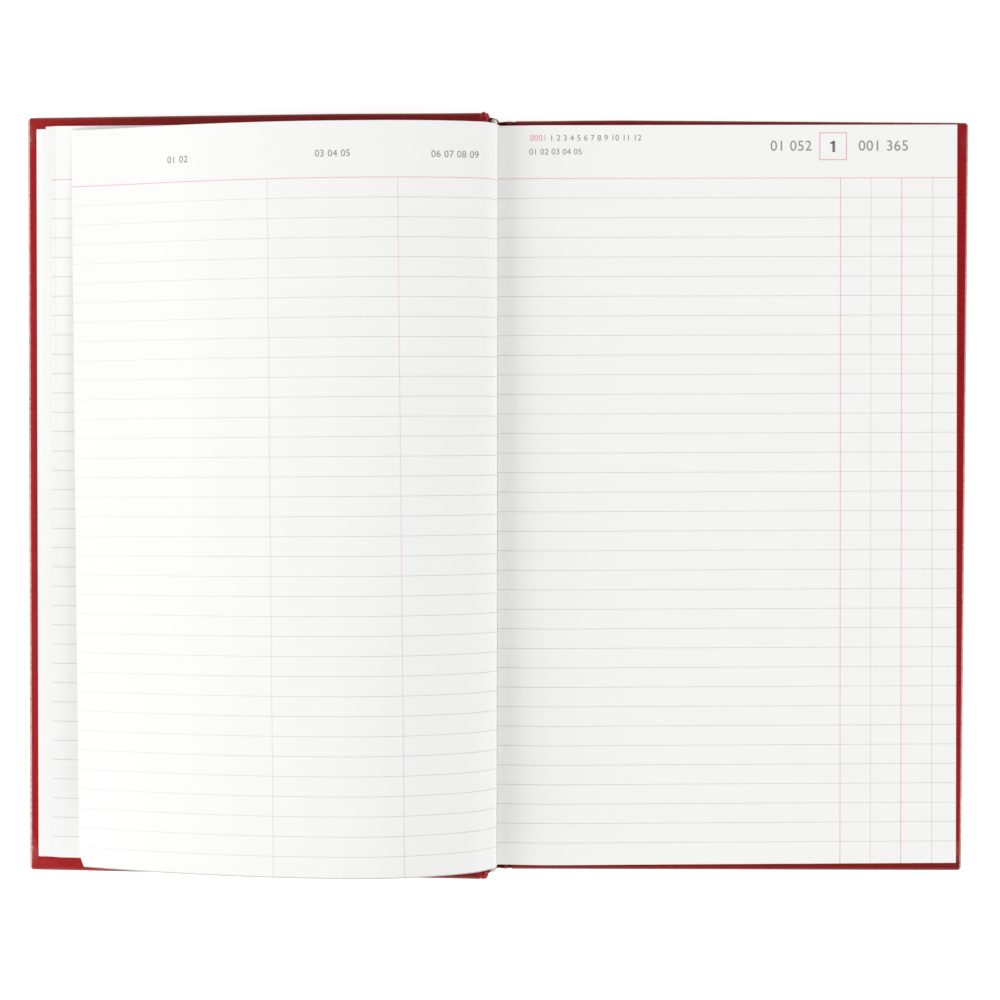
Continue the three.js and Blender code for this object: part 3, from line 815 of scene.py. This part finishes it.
def cover_skin(sizes):
    """Leather cloth round three edges of a board, open over the inside of the board."""
    obj = box("skin", (HINGE_EDGE, -COVER_END, 0), (FORE_EDGE, COVER_END, COVER_THICKNESS))

    def corner(a, b):
        return a.x > FORE_EDGE - 0.1 and b.x > FORE_EDGE - 0.1 and a.y == b.y

    def rim(a, b):
        flat = abs(a.z - b.z) < 1e-4
        hinge = a.x < HINGE_EDGE + 0.1 and b.x < HINGE_EDGE + 0.1
        return flat and not hinge

    def inside(centre, facing):
        return facing.z > 0.999

    def bare(centre, facing):
        kept = centre.x > FORE_EDGE - TURN_IN or abs(centre.y) > COVER_END - TURN_IN
        return inside(centre, facing) and not kept

    for edges, radius in ((corner, CORNER_RADIUS), (rim, sizes.edge_round)):
        rework(obj, bpy.ops.mesh.bevel, "EDGE", edges, offset=radius, segments=5, affect="EDGES")
    rework(obj, bpy.ops.mesh.delete, "FACE", lambda centre, facing: facing.x < -0.9, type="FACE")
    for place, normal in (
        ((0, COVER_END - TURN_IN, 0), (0, 1, 0)),
        ((0, TURN_IN - COVER_END, 0), (0, 1, 0)),
        ((FORE_EDGE - TURN_IN, 0, 0), (1, 0, 0)),
    ):
        cut(obj, place, normal, inside)
    for x in BEND_CUTS:
        cut(obj, (x, 0, 0), (1, 0, 0))
    rework(obj, bpy.ops.mesh.delete, "FACE", bare, type="FACE")
    fold_corners(obj, sizes.turn_in_ridge)
    finish_with(obj, "SOLIDIFY", thickness=SKIN, offset=-1)
    return close_up(obj, outward=False)


def fold_corners(obj, ridge):
    """Two low slanted steps at each corner, where the fore edge's cloth is folded over the other cloth."""
    folds = ((0, 0), (0.3, 1.0), (2.0, 0.1), (2.3, 0.9), (4.4, 0))
    bare = HINGE_EDGE + PASTEDOWN_WIDTH + 0.3

    def corner_face(centre, facing):
        return facing.z > 0.5 and centre.x > FORE_EDGE - 30 and abs(centre.y) > COVER_END - 30

    for x in (bare, bare + 0.6):
        cut(obj, (x, 0, 0), (1, 0, 0), corner_face)
    for end in (1, -1):
        towards_corner = Vector((0.53, 0.85 * end, 0))
        start = Vector((bare, end * (COVER_END - 8.6), 0))
        for off, _ in folds:
            cut(obj, start - towards_corner * off, towards_corner,
                lambda centre, facing: corner_face(centre, facing) and end * centre.y > 0)
        for vertex in obj.data.vertices:
            if vertex.co.z > COVER_THICKNESS - 0.01 and vertex.co.x > bare + 0.3 and end * vertex.co.y > 0:
                off = (start - vertex.co).dot(towards_corner)
                vertex.co.z += ridge * float(np.interp(off, *zip(*folds), left=0, right=0))


class DIARY_OT_covers(bpy.types.Operator):
    """Makes the leather cloth and the board of both covers"""

    bl_idname = "diary.covers"
    bl_label = "Covers"

    def execute(self, context):
        sizes = context.scene.diary_sizes
        end = COVER_END - BOARD_INSET
        top = BOARD_INSET + BOARD_THICKNESS
        skin = cover_skin(sizes)
        board = box("board", (HINGE_EDGE, -end, BOARD_INSET), (FORE_EDGE - BOARD_INSET, end, top))
        rework(
            board, bpy.ops.mesh.bevel, "EDGE", lambda a, b: max(a.x, b.x) >= HINGE_EDGE + 1,
            offset=sizes.edge_round - BOARD_INSET / 2, segments=3, affect="EDGES",
        )
        for side, place, askew in (("back", LYING, cover_askew), ("front", OPENED, front_askew)):
            for made, name, finish, slot in (
                (skin, "cover_skin", "cover", "leather_cloth"),
                (board, "board", "board", "grey_board"),
            ):
                piece = settle(copied(made, f"{side}_{name}_made"), place, 50, askew)
                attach(dress(piece, finish), f"{side}_cover")
                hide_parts(f"{side}_{name}")
        for made in (skin, board):
            bpy.data.objects.remove(made)
        return {"FINISHED"}


def front_joint_line():
    """Middle of the leather from the spine's top, in over it, and back down the cover's hinge edge."""
    x = fold_x(SPINE_TOP) - SPINE_SKIN_OUT
    return [
        (x, SPINE_TOP + 0.05),
        (x + 0.05, SPINE_TOP + 0.3),
        (x + 0.35, SPINE_TOP + 0.6),
        (x + 1.05, SPINE_TOP + 0.75),
        (x + 1.5, SPINE_TOP + 1.2),
        (x + 1.05, SPINE_TOP + 1.65),
        beside_edge(1.3, 3.05),
        beside_edge(0.55, 2.6),
        beside_edge(0.45, 1.2),
        beside_edge(0.2, SKIN / 2),
        beside_edge(-0.4, SKIN / 2),
    ]


def joint_flap_line():
    """Middle of the turned-in cloth that bridges the joint at the head and the tail."""
    return [
        over_cover(0.7, -0.5),
        beside_edge(0.1, 3.05),
        beside_edge(0.9, 3.2),
        beside_edge(1.6, 3.1),
        beside_edge(2.4, 2.7),
    ]


def back_joint_line():
    """Middle of the leather from the spine's foot, in a groove, to the back cover's hinge edge."""
    x = fold_x(SPINE_FOOT) - SPINE_SKIN_OUT
    span = HINGE_EDGE - x
    return [
        (x, SPINE_FOOT + 0.05),
        (x + 0.02 * span, SPINE_FOOT / 2),
        (x + 0.1 * span, 0.25),
        (x + 0.3 * span, 0.5),
        (x + 0.6 * span, 2.2),
        (x + 0.78 * span, 2.1),
        (x + 0.9 * span, 1.4),
        (HINGE_EDGE - 0.15, 0.35),
        (HINGE_EDGE + 0.4, 0.2),
    ]


def flat_strip(name, points, length, thickness, columns, rows=24):
    """Strip of even length along Y, that follows a line in X and Z."""
    line = Line(points)

    def place(across, down):
        x, z = line.at(across)
        return Vector((x, length * (0.5 - down), z))

    return close_up(loft(name, place, columns, rows, thickness))


def roll(name, points, y, radii):
    """Rolled end of the cloth at the head or the tail of a joint or the spine."""
    line = Line(points)
    count = 14
    places, sizes = [], []
    for i in range(count + 1):
        share = i / count
        x, z = line.at(share)
        places.append((x, y, z))
        sizes.append(float(np.interp(share, *radii)))
    return tube(name, places, sizes)


def curl(name, middle, height):
    """End of the cloth of a joint, rolled up in a small coil."""
    places, radii = [], []
    for i in range(31):
        share = i / 30
        angle = math.tau * 1.35 * share
        out = 0.08 + 0.86 * share
        places.append((
            middle[0] + out * math.cos(angle), middle[1] + out * math.sin(angle), height - 0.5 * share,
        ))
        radii.append(0.66 if share < 0.9 else 0.66 - 2.6 * (share - 0.9))
    return tube(name, places, radii)


def spine_cloth():
    """Leather over the spine card, a little rounded, and turned in over the card's two ends."""
    wrap = (SPINE_SKIN_OUT - 0.95) / 2
    rows = [(COVER_END - 14.5, 2 * wrap), (COVER_END - 5, 2 * wrap), (COVER_END - 1.2, 2 * wrap)]
    for i in range(9):
        angle = math.pi * i / 8
        rows.append((COVER_END - 0.75 + wrap * math.sin(angle), wrap + wrap * math.cos(angle)))
    rows += [(COVER_END - 12, 0), (COVER_END - 60, 0)]
    rows = rows + [(-y, inward) for y, inward in reversed(rows)]
    height = SPINE_TOP - SPINE_FOOT + 0.1

    def place(across, down):
        z = SPINE_FOOT - 0.05 + height * across
        y, inward = (np.interp(down, np.linspace(0, 1, len(rows)), [row[k] for row in rows]) for k in (0, 1))
        swell = 0.55 * math.sin(math.pi * across) ** 0.8 * (1 - inward / (2 * wrap))
        return Vector((fold_x(z) - SPINE_SKIN_OUT - swell + inward, y, z))

    return close_up(loft("spine_cloth", place, 18, len(rows) - 1, SKIN))


def spine_card():
    """Card that stiffens the spine, inside the leather."""
    def place(across, down):
        z = SPINE_FOOT + (SPINE_TOP - SPINE_FOOT) * across
        return Vector((fold_x(z) - 1.45, (COVER_HEIGHT - 1.2) * (0.5 - down), z))

    return close_up(loft("spine_card_made", place, 8, 60, 0.66))


class DIARY_OT_spine(bpy.types.Operator):
    """Makes the leather of the spine and of its two joints"""

    bl_idname = "diary.spine"
    bl_label = "Spine and joints"

    def execute(self, context):
        spine = settle(spine_cloth(), askew=spine_askew)
        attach(dress(spine, "leather"), "text_block")
        # The cloth turned in over the card's ends takes the finish with painted shade, nearly black.
        spine.data.materials.append(finishes["crease"])
        for face in spine.data.polygons:
            x, z = face.center.x / MM - SHIFT, face.center.z / MM
            face.material_index = int(x - fold_x(z) + SPINE_SKIN_OUT > 0.35)
        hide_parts("spine_skin")
        card = settle(spine_card(), askew=spine_askew)
        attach(dress(card, "card"), "text_block")
        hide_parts("spine_card")
        self.front_joint()
        self.back_joint()
        return {"FINISHED"}

    def front_joint(self):
        line = front_joint_line()
        inner, outer = line[:5], line[4:]
        for name, points, radii in (
            ("front_joint_spine_side", inner, ([0, 1], [0.6, 1.0])),
            ("front_joint_cover_side", outer, ([0, 0.25, 0.7, 1], [0.55, 0.9, 0.75, 0.4])),
        ):
            strip = flat_strip(name, points, COVER_HEIGHT - 0.4, SKIN, 14)
            ends = [roll("end", points, end * (COVER_END - 0.9), radii) for end in (1, -1)]
            if points is outer:
                for x, y in ((-6.1, COVER_END - 1.2), (-5.7, 1.4 - COVER_END)):
                    ends.append(curl("curl", (x, y), 26.7))
                    flap = flat_strip("turn_in", joint_flap_line(), TURN_IN, SKIN, 8, 4)
                    off = math.copysign(COVER_END - TURN_IN / 2 - 0.5, y)
                    flap.data.transform(Matrix.Translation((0, off, 0)))
                    ends.append(flap)
            askew = spine_askew if points is inner else joint_askew
            piece = settle(joined([strip, *ends], name), angle=60, askew=askew)
            dress(piece, "leather")
            if points is inner:
                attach(piece, "text_block")
                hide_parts("front_joint_skin")
            else:
                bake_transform(piece)

    def back_joint(self):
        line = back_joint_line()
        strip = flat_strip("back_joint", line, COVER_HEIGHT - 0.4, SKIN, 24)
        radii = ([0, 0.3, 0.75, 1], [0.4, 0.45, 0.7, 0.3])
        ends = [roll("end", line, end * (COVER_END - 0.95), radii) for end in (1, -1)]
        piece = settle(joined([strip, *ends], "back_joint"), angle=60, askew=cover_askew)
        # The joint's groove takes the finish with painted shade, nearly black; on the board the cloth has the
        # cover's finish.
        dress(piece, "crease")
        piece.data.materials.append(finishes["cover"])
        for face in piece.data.polygons:
            x, y = face.center.x / MM - SHIFT, face.center.y / MM
            face.material_index = int(x > 3.3 + 0.0025 * (y + 160))
        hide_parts("back_joint_skin")
        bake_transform(piece)


# Endpapers

def pastedown_shape():
    """Paper glued over the board and its turn-ins, whose edges show through it as a low step."""

    def place(across, down):
        x = HINGE_EDGE + PASTEDOWN_WIDTH * across
        y = LEAF_HEIGHT * (0.5 - down)
        inward = min(FORE_EDGE - TURN_IN - x, COVER_END - TURN_IN - abs(y))
        sunk = 0.3 * smooth(inward / 2.0)
        return Vector((x, y, PASTEDOWN_BASE + ENDPAPER_THICKNESS / 2 - sunk))

    return loft("pastedown", place, 96, 154, ENDPAPER_THICKNESS)


def trimmed_tail(x, y):
    """Where a point of the front pastedown lies, as drawn with its head down: its tail is cut shorter."""
    return x, y - 0.95 * near_end(y)


def front_endpaper_line():
    return [
        (TOP_FOLD, BLOCK_TOP + 0.3),
        (TOP_FOLD - 0.2, BLOCK_TOP + 2.3),
        (TOP_FOLD - 0.85, BLOCK_TOP + 4.7),
        beside_edge(3.4, PASTEDOWN_TOP + 0.3),
        beside_edge(2, PASTEDOWN_TOP + 0.4),
        beside_edge(0, PASTEDOWN_TOP - ENDPAPER_THICKNESS / 2),
    ]


class DIARY_OT_endpapers(bpy.types.Operator):
    """Makes the pastedowns, the paper in the joints and the back flyleaf"""

    bl_idname = "diary.endpapers"
    bl_label = "Endpapers"

    def execute(self, context):
        made = pastedown_shape()
        for side, place, askew in (("back", LYING, block_askew), ("front", OPENED, trimmed_tail)):
            piece = settle(copied(made, f"{side}_pastedown_made"), place, askew=askew)
            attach(dress(piece, "endpaper"), f"{side}_cover")
            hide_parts(f"{side}_pastedown")
        bpy.data.objects.remove(made)
        middle = PASTEDOWN_BASE + ENDPAPER_THICKNESS / 2
        back = [(BOTTOM_FOLD - 0.2, middle), (BOTTOM_FOLD + 2.5, middle + 0.05), (HINGE_EDGE, middle)]
        for name, points, ends, bodies in (
            ("front_endpaper_joint", front_endpaper_line(), (24.4, 25.5), ("text_block", "front_cover")),
            ("back_endpaper_joint", back, (6.1, 1.0), ("back_cover", "text_block")),
        ):
            strip = flat_strip(f"{name}_made", points, LEAF_HEIGHT, ENDPAPER_THICKNESS, 24)
            piece = settle(strip)
            dress(piece, "endpaper")
            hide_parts(name)
            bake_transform(piece)
        flyleaf = loft(
            "back_flyleaf_made",
            lambda across, down: Vector((
                BOTTOM_FOLD + LEAF_WIDTH * across, LEAF_HEIGHT * (0.5 - down), FLYLEAF_MIDDLE,
            )),
            24, 12, ENDPAPER_THICKNESS,
        )
        settle(flyleaf, askew=block_askew)
        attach(dress(flyleaf, "endpaper"), "text_block")
        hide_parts("back_flyleaf")
        return {"FINISHED"}


# Text block

def folded_sheet(low, high, depth, draw):
    """One folded sheet of a section: its lower leaf, its round fold and its upper leaf.

    depth is how far in it lies from the outermost sheet, from 0 to 1.
    """
    bulge = FOLD_BULGE * (1 - depth)
    steps = 7
    trim = 0.22 * draw.random()
    slip = 0.16 * (draw.random() - 0.5)
    spread = [FOLD_BULGE + (GUTTER_REACH - FOLD_BULGE) * i / steps for i in range(steps + 1)]
    below = [(sheet_fold(low) + away, low) for away in spread]
    above = [(sheet_fold(high) + away, high) for away in spread]
    below.append((sheet_fold(low) + LEAF_WIDTH - trim, low))
    above.append((sheet_fold(high) + LEAF_WIDTH - trim * draw.random(), high))
    flat = [(x, sheet_z(x, height)) for x, height in reversed(below)]
    flat_above = [(x, sheet_z(x, height)) for x, height in above]
    fold = []
    for share in (0.12, 0.3, 0.5, 0.7, 0.88):
        x = flat[-1][0] + (flat_above[0][0] - flat[-1][0]) * share
        z = flat[-1][1] + (flat_above[0][1] - flat[-1][1]) * share
        fold.append((x - bulge * math.sin(math.pi * share), z))
    path = flat + fold + flat_above

    def place(across, down):
        x, z = path[round(across * (len(path) - 1))]
        return Vector((x, LEAF_HEIGHT * (0.5 - down) + slip, z))

    return place, len(path) - 1


class DIARY_OT_sections(bpy.types.Operator):
    """Makes the sections of the text block out of nested folded sheets"""

    bl_idname = "diary.sections"
    bl_label = "Sections"

    def execute(self, context):
        sizes = context.scene.diary_sizes
        draw = random.Random(11)
        pitch = BLOCK_THICKNESS / SECTION_COUNT
        leaf = (pitch - 0.05) / (2 * sizes.sheets)
        for index in range(SECTION_COUNT):
            sheets = []
            for k in range(sizes.sheets):
                low = index * pitch + (k + 0.5) * leaf
                high = (index + 1) * pitch - 0.05 - (k + 0.5) * leaf
                place, count = folded_sheet(low, high, (k + 0.5) / sizes.sheets, draw)
                sheets.append(loft("sheet", place, count, 1, leaf - 0.02))
            node = f"section_{index + 1:02d}"
            piece = settle(close_up(joined(sheets, f"{node}_sheets")), angle=30, askew=block_askew)
            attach(dress(piece, "paper"), "text_block")
            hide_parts(node)
        return {"FINISHED"}


class DIARY_OT_bands(bpy.types.Operator):
    """Makes the wound headband and tailband and the sewing thread"""

    bl_idname = "diary.bands"
    bl_label = "Headbands and thread"

    def execute(self, context):
        for end, node in ((1, "headband"), (-1, "tailband")):
            self.band(end, node)
        self.thread()
        return {"FINISHED"}

    def band(self, end, node):
        places, radii = [], []
        turns, steps = 26, 4
        for i in range(turns * steps + 1):
            share = i / (turns * steps)
            z = BLOCK_BASE + (FOLD_TOP - BLOCK_BASE) * share
            knob = smooth((share - 0.8) / 0.1)
            tip = max(0.0, (share - 0.93) / 0.07)
            out = (0.5 if end > 0 else 1.4) * knob
            places.append((fold_x(z) + 0.62, end * (LEAF_HEIGHT / 2 + 0.92 + out), z + knob + 0.5 * tip))
            radius = 0.8 + 0.5 * knob + 0.07 * math.cos(2 * math.pi * i / steps)
            radii.append(radius * math.sqrt(max(1 - tip * tip, 0.04)))
        bead = tube("bead", places, radii, 4)

        def tape(across, down):
            z = BLOCK_BASE + (FOLD_TOP - BLOCK_BASE) * across
            return Vector((fold_x(z) - 0.15, end * (LEAF_HEIGHT / 2 + 0.9 - 9.8 * down), z))

        skirt = close_up(loft("tape", tape, 12, 8, 0.16))
        dress(skirt, "tape")
        dress(bead, "thread")
        piece = settle(joined([bead, skirt], f"{node}_wound"), angle=60)
        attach(piece, "text_block")
        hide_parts(node)

    def thread(self):
        pitch = (FOLD_TOP - BLOCK_BASE) / SECTION_COUNT
        places = []
        for i in range(SECTION_COUNT):
            z = BLOCK_BASE + (i + 0.5) * pitch
            side = 1 if i % 2 == 0 else -1
            for k in range(25):
                y = side * 120 * (k / 12 - 1)
                places.append((fold_x(z) - 0.2, y, z))
        piece = settle(tube("thread_run", places, [0.14] * len(places), 2), angle=60)
        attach(dress(piece, "thread"), "text_block")
        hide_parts("sewing_thread")


# Leaves and printing

FRAME_WIDTH = 0.026


def printed(text, ink, height, centre, page, width, leftward, bold=0.0):
    """Digits in one ink, set on a page with their centre so far from the fold and from the head."""
    bpy.ops.object.select_all(action="DESELECT")
    bpy.ops.object.text_add()
    obj = bpy.context.object
    obj.data.body = text
    obj.data.size = 10
    obj.data.offset = bold
    obj.data.space_character = 1.05
    obj.data.extrude = 0.01
    bpy.ops.object.convert(target="MESH")
    obj = new_object("digits")
    return on_page(obj, ink, height, centre, page, width, leftward)


def on_page(obj, ink, height, centre, page, width, leftward):
    """Lays a flat shape on a page, a height tall, and gives it its ink."""
    co = np.array([vertex.co for vertex in obj.data.vertices])
    low, high = co.min(0), co.max(0)
    scale = height / (high[1] - low[1])
    for vertex in obj.data.vertices:
        right = (vertex.co.x - (low[0] + high[0]) / 2) * scale
        up = (vertex.co.y - (low[1] + high[1]) / 2) * scale
        away = centre[0] - right if leftward else centre[0] + right
        lift = 0.02 if vertex.co.z > 0 else 0.0
        vertex.co = above(page, away / width, (centre[1] - up) / LEAF_HEIGHT, lift)
    close_up(obj)
    obj.data.materials.clear()
    obj.data.materials.append(finishes[ink])
    return obj


def above(page, across, down, lift):
    """Point a little above the upper face of a page."""
    step = 0.002
    here = page(across, down)
    along = page(across + step, down) - page(across - step, down)
    downward = page(across, down + step) - page(across, down - step)
    up = along.cross(downward).normalized()
    if up.z < 0:
        up.negate()
    return here + up * (LEAF_THICKNESS / 2 + 0.01 + lift)


def numbered_box(page, width):
    """Thin red frame round the day's number."""
    bpy.ops.object.select_all(action="DESELECT")
    bpy.ops.mesh.primitive_plane_add(size=1)
    obj = new_object("frame")
    bpy.ops.object.mode_set(mode="EDIT")
    bpy.ops.mesh.select_all(action="SELECT")
    bpy.ops.mesh.inset(thickness=FRAME_WIDTH, depth=0)
    bpy.ops.mesh.delete(type="FACE")
    bpy.ops.object.mode_set(mode="OBJECT")
    finish_with(obj, "SOLIDIFY", thickness=0.02, offset=0)
    return on_page(obj, "red_ink", 11.4, (139.5 - DayPage.start, 8.9), page, width, False)


def flagged_one(page, width):
    """The number in the frame: an upright with a flag, cut out of a bar."""
    one = box("one", (0, 0, 0), (0.24, 1, 0.02))
    flag = box("flag", (-0.2, 0.72, 0), (0.1, 0.88, 0.02))
    for vertex in flag.data.vertices:
        if vertex.co.x > 0:
            vertex.co.y += 0.08
    centre = (139.3 - DayPage.start, 9.0)
    return on_page(joined([one, flag], "one"), "dark_ink", 4.6, centre, page, width, False)


class DIARY_OT_day_page(bpy.types.Operator):
    """Makes the top leaf on the right and the numbers printed on it"""

    bl_idname = "diary.day_page"
    bl_label = "Day page"

    def execute(self, context):
        page = DayPage()
        leaf = close_up(loft("day_leaf", page, 60, 24, LEAF_THICKNESS, crowd=1.5))
        settle(leaf, askew=block_askew)
        dress(leaf, "day_page")
        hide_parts("first_day_leaf")
        start = DayPage.start
        marks = [
            printed(text, ink, height, (x - start, down), page, DayPage.length, False, bold)
            for text, ink, height, x, down, bold in (
                ("0001", "red_ink", 2.4, 16.6, 5.2, 0.0),
                ("1 2 3 4 5 6 7 8 9 10 11 12", "grey_ink", 2.4, 41.0, 5.2, 0.0),
                ("01 02 03 04 05", "grey_ink", 2.4, 24.0, 10.9, 0.0),
                ("01 052", "grey_ink", 4.2, 122.0, 8.65, 0.0),
                ("001 365", "grey_ink", 4.3, 160.4, 8.65, 0.0),
            )
        ]
        marks.append(numbered_box(page, DayPage.length))
        marks.append(flagged_one(page, DayPage.length))
        print_ = settle(joined(marks, "day_leaf_print"), askew=block_askew)
        for piece in (leaf, print_):
            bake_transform(piece)
        return {"FINISHED"}


class DIARY_OT_left_leaves(bpy.types.Operator):
    """Makes the four leaves on the left and the numbers printed on the top one"""

    bl_idname = "diary.left_leaves"
    bl_label = "Left-hand leaves"

    def execute(self, context):
        surfaces = {name: lying_surface(*row) for name, *row in LYING_LEAVES}
        surfaces["address_leaf"] = arched_surface()
        for name, shape in surfaces.items():
            thickness = ENDPAPER_THICKNESS if name == "front_flyleaf" else LEAF_THICKNESS
            rows = 56 if name == "address_leaf" else 28
            leaf = loft(f"{name}_made", shape, 72, rows, thickness, leftward=True, crowd=1.8)
            leaf = settle(close_up(leaf))
            if name == "front_flyleaf":
                dress(leaf, "endpaper")
            else:
                dress(leaf, "address_page" if name == "address_leaf" else "lower_page")
            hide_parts(name)
            self.attach(leaf, name)
        page = surfaces["address_leaf"]
        marks = [
            printed(text, "grey_ink", 2.8, centre, page, LEAF_WIDTH, True)
            for text, centre in (
                ("01 02", (144.2, 14.2)), ("03 04 05", (77.3, 13.3)), ("06 07 08 09", (26.2, 13.6)),
            )
        ]
        print_ = settle(joined(marks, "address_leaf_print"))
        self.attach(print_, "address_leaf")
        return {"FINISHED"}

    def attach(self, piece, body):
        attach(piece, body)
        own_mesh(piece)


# Stage

FLOOR_DROP = 0.05
FLOOR_GLOW = 0.55
SOFTBOXES = (
    ("left_softbox", (-1.95, -0.05, 1.0), 1.2, 9.6),
    ("right_softbox", (2.0, -0.3, 0.95), 0.6, 3.5),
)
CAMERA_LENS = 80.25
CAMERA_PLACE = Vector((-10.88, 18.48, 947.74))
CAMERA_TURN = Vector((0.0215, 0.0127, -0.0014))


class DIARY_OT_stage(bpy.types.Operator):
    """Makes the floor, the studio lights and the camera"""

    bl_idname = "diary.stage"
    bl_label = "Stage"

    def execute(self, context):
        self.floor()
        self.dome()
        self.softboxes()
        self.camera()
        bpy.context.scene.view_settings.view_transform = "Standard"
        return {"FINISHED"}

    def floor(self):
        bpy.ops.object.select_all(action="DESELECT")
        bpy.ops.mesh.primitive_plane_add(size=6, location=(0, 0, -FLOOR_DROP * MM))
        floor = new_object("floor")
        material, tree = new_material("white_paper_sweep")
        path = add(tree, "LightPath", out=None)
        glow = path["Is Camera Ray"]
        for kind in ("Is Glossy Ray", "Is Transmission Ray"):
            glow = add(tree, "Math", (glow, path[kind]), operation="MAXIMUM")
        glow = add(tree, "Math", (glow, FLOOR_GLOW), operation="MULTIPLY")
        paint = add(tree, "BsdfDiffuse", {"Color": linear("#f2f2f2")})
        glow = add(tree, "Emission", {"Strength": glow})
        add(tree, "OutputMaterial", {"Surface": add(tree, "AddShader", (paint, glow))}, None)
        floor.data.materials.append(material)

    def dome(self):
        """White to the camera, and to the diary a light that is stronger low down and in front."""
        world = bpy.data.worlds.new("studio_dome")
        world.use_nodes = True
        tree = world.node_tree
        tree.nodes.clear()
        way = add(tree, "SeparateXYZ", [add(tree, "TexCoord", out="Generated")], None)
        ring = add(tree, "MapRange", (way[2], 0.6, 0.9, 1.43, 0.2), interpolation_type="SMOOTHSTEP")
        lean = add(tree, "Math", (way[1], -0.5, 1.0), operation="MULTIPLY_ADD")
        lean = add(tree, "Math", (way[0], -0.12, lean), operation="MULTIPLY_ADD")
        strength = add(tree, "Math", (ring, lean), operation="MULTIPLY")
        seen = add(tree, "LightPath", out="Is Camera Ray")
        soft, white = (
            add(tree, "Background", {"Color": (1, 1, 1, 1), "Strength": light}) for light in (strength, 1.0)
        )
        add(tree, "OutputWorld", {"Surface": add(tree, "MixShader", (seen, soft, white))}, None)
        bpy.context.scene.world = world

    def softboxes(self):
        for name, place, size, power in SOFTBOXES:
            light = bpy.data.lights.new(name, "AREA")
            light.size = size
            light.energy = power
            lamp = bpy.data.objects.new(name, light)
            bpy.context.scene.collection.objects.link(lamp)
            lamp.location = place
            lamp.rotation_euler = (-Vector(place)).to_track_quat("-Z", "Y").to_euler()

    def camera(self):
        data = bpy.data.cameras.new("copy_stand")
        data.lens = CAMERA_LENS
        data.sensor_width = 36
        data.clip_start = 0.01
        camera = bpy.data.objects.new("copy_stand", data)
        bpy.context.scene.collection.objects.link(camera)
        camera.matrix_world = (
            Matrix.Translation(CAMERA_PLACE * MM)
            @ Matrix.Rotation(-CAMERA_TURN.length, 4, CAMERA_TURN.normalized())
        )
        bpy.context.scene.camera = camera


# Add-on

STEPS = ("finishes", "covers", "spine", "endpapers", "sections", "bands", "day_page", "left_leaves", "stage")


class DIARY_PT_panel(bpy.types.Panel):
    """Lists the steps that build the diary, and its sizes and colours"""

    bl_idname = "DIARY_PT_panel"
    bl_label = "Diary"
    bl_space_type = "VIEW_3D"
    bl_region_type = "UI"
    bl_category = "Diary"

    def draw(self, context):
        for step in STEPS:
            self.layout.operator(f"diary.{step}")
        for group in (context.scene.diary_sizes, context.scene.diary_colours):
            for name in group.__annotations__:
                self.layout.prop(group, name)


CLASSES = (
    DIARY_PG_sizes, DIARY_PG_colours, DIARY_OT_finishes, DIARY_OT_covers, DIARY_OT_spine,
    DIARY_OT_endpapers, DIARY_OT_sections, DIARY_OT_bands, DIARY_OT_day_page, DIARY_OT_left_leaves,
    DIARY_OT_stage, DIARY_PT_panel,
)


def register():
    for made in CLASSES:
        bpy.utils.register_class(made)
    bpy.types.Scene.diary_sizes = PointerProperty(type=DIARY_PG_sizes)
    bpy.types.Scene.diary_colours = PointerProperty(type=DIARY_PG_colours)


def unregister():
    del bpy.types.Scene.diary_colours
    del bpy.types.Scene.diary_sizes
    for made in reversed(CLASSES):
        bpy.utils.unregister_class(made)


def main():
    register()
    for step in STEPS:
        getattr(bpy.ops.diary, step)()


if __name__ == "__main__":
    main()
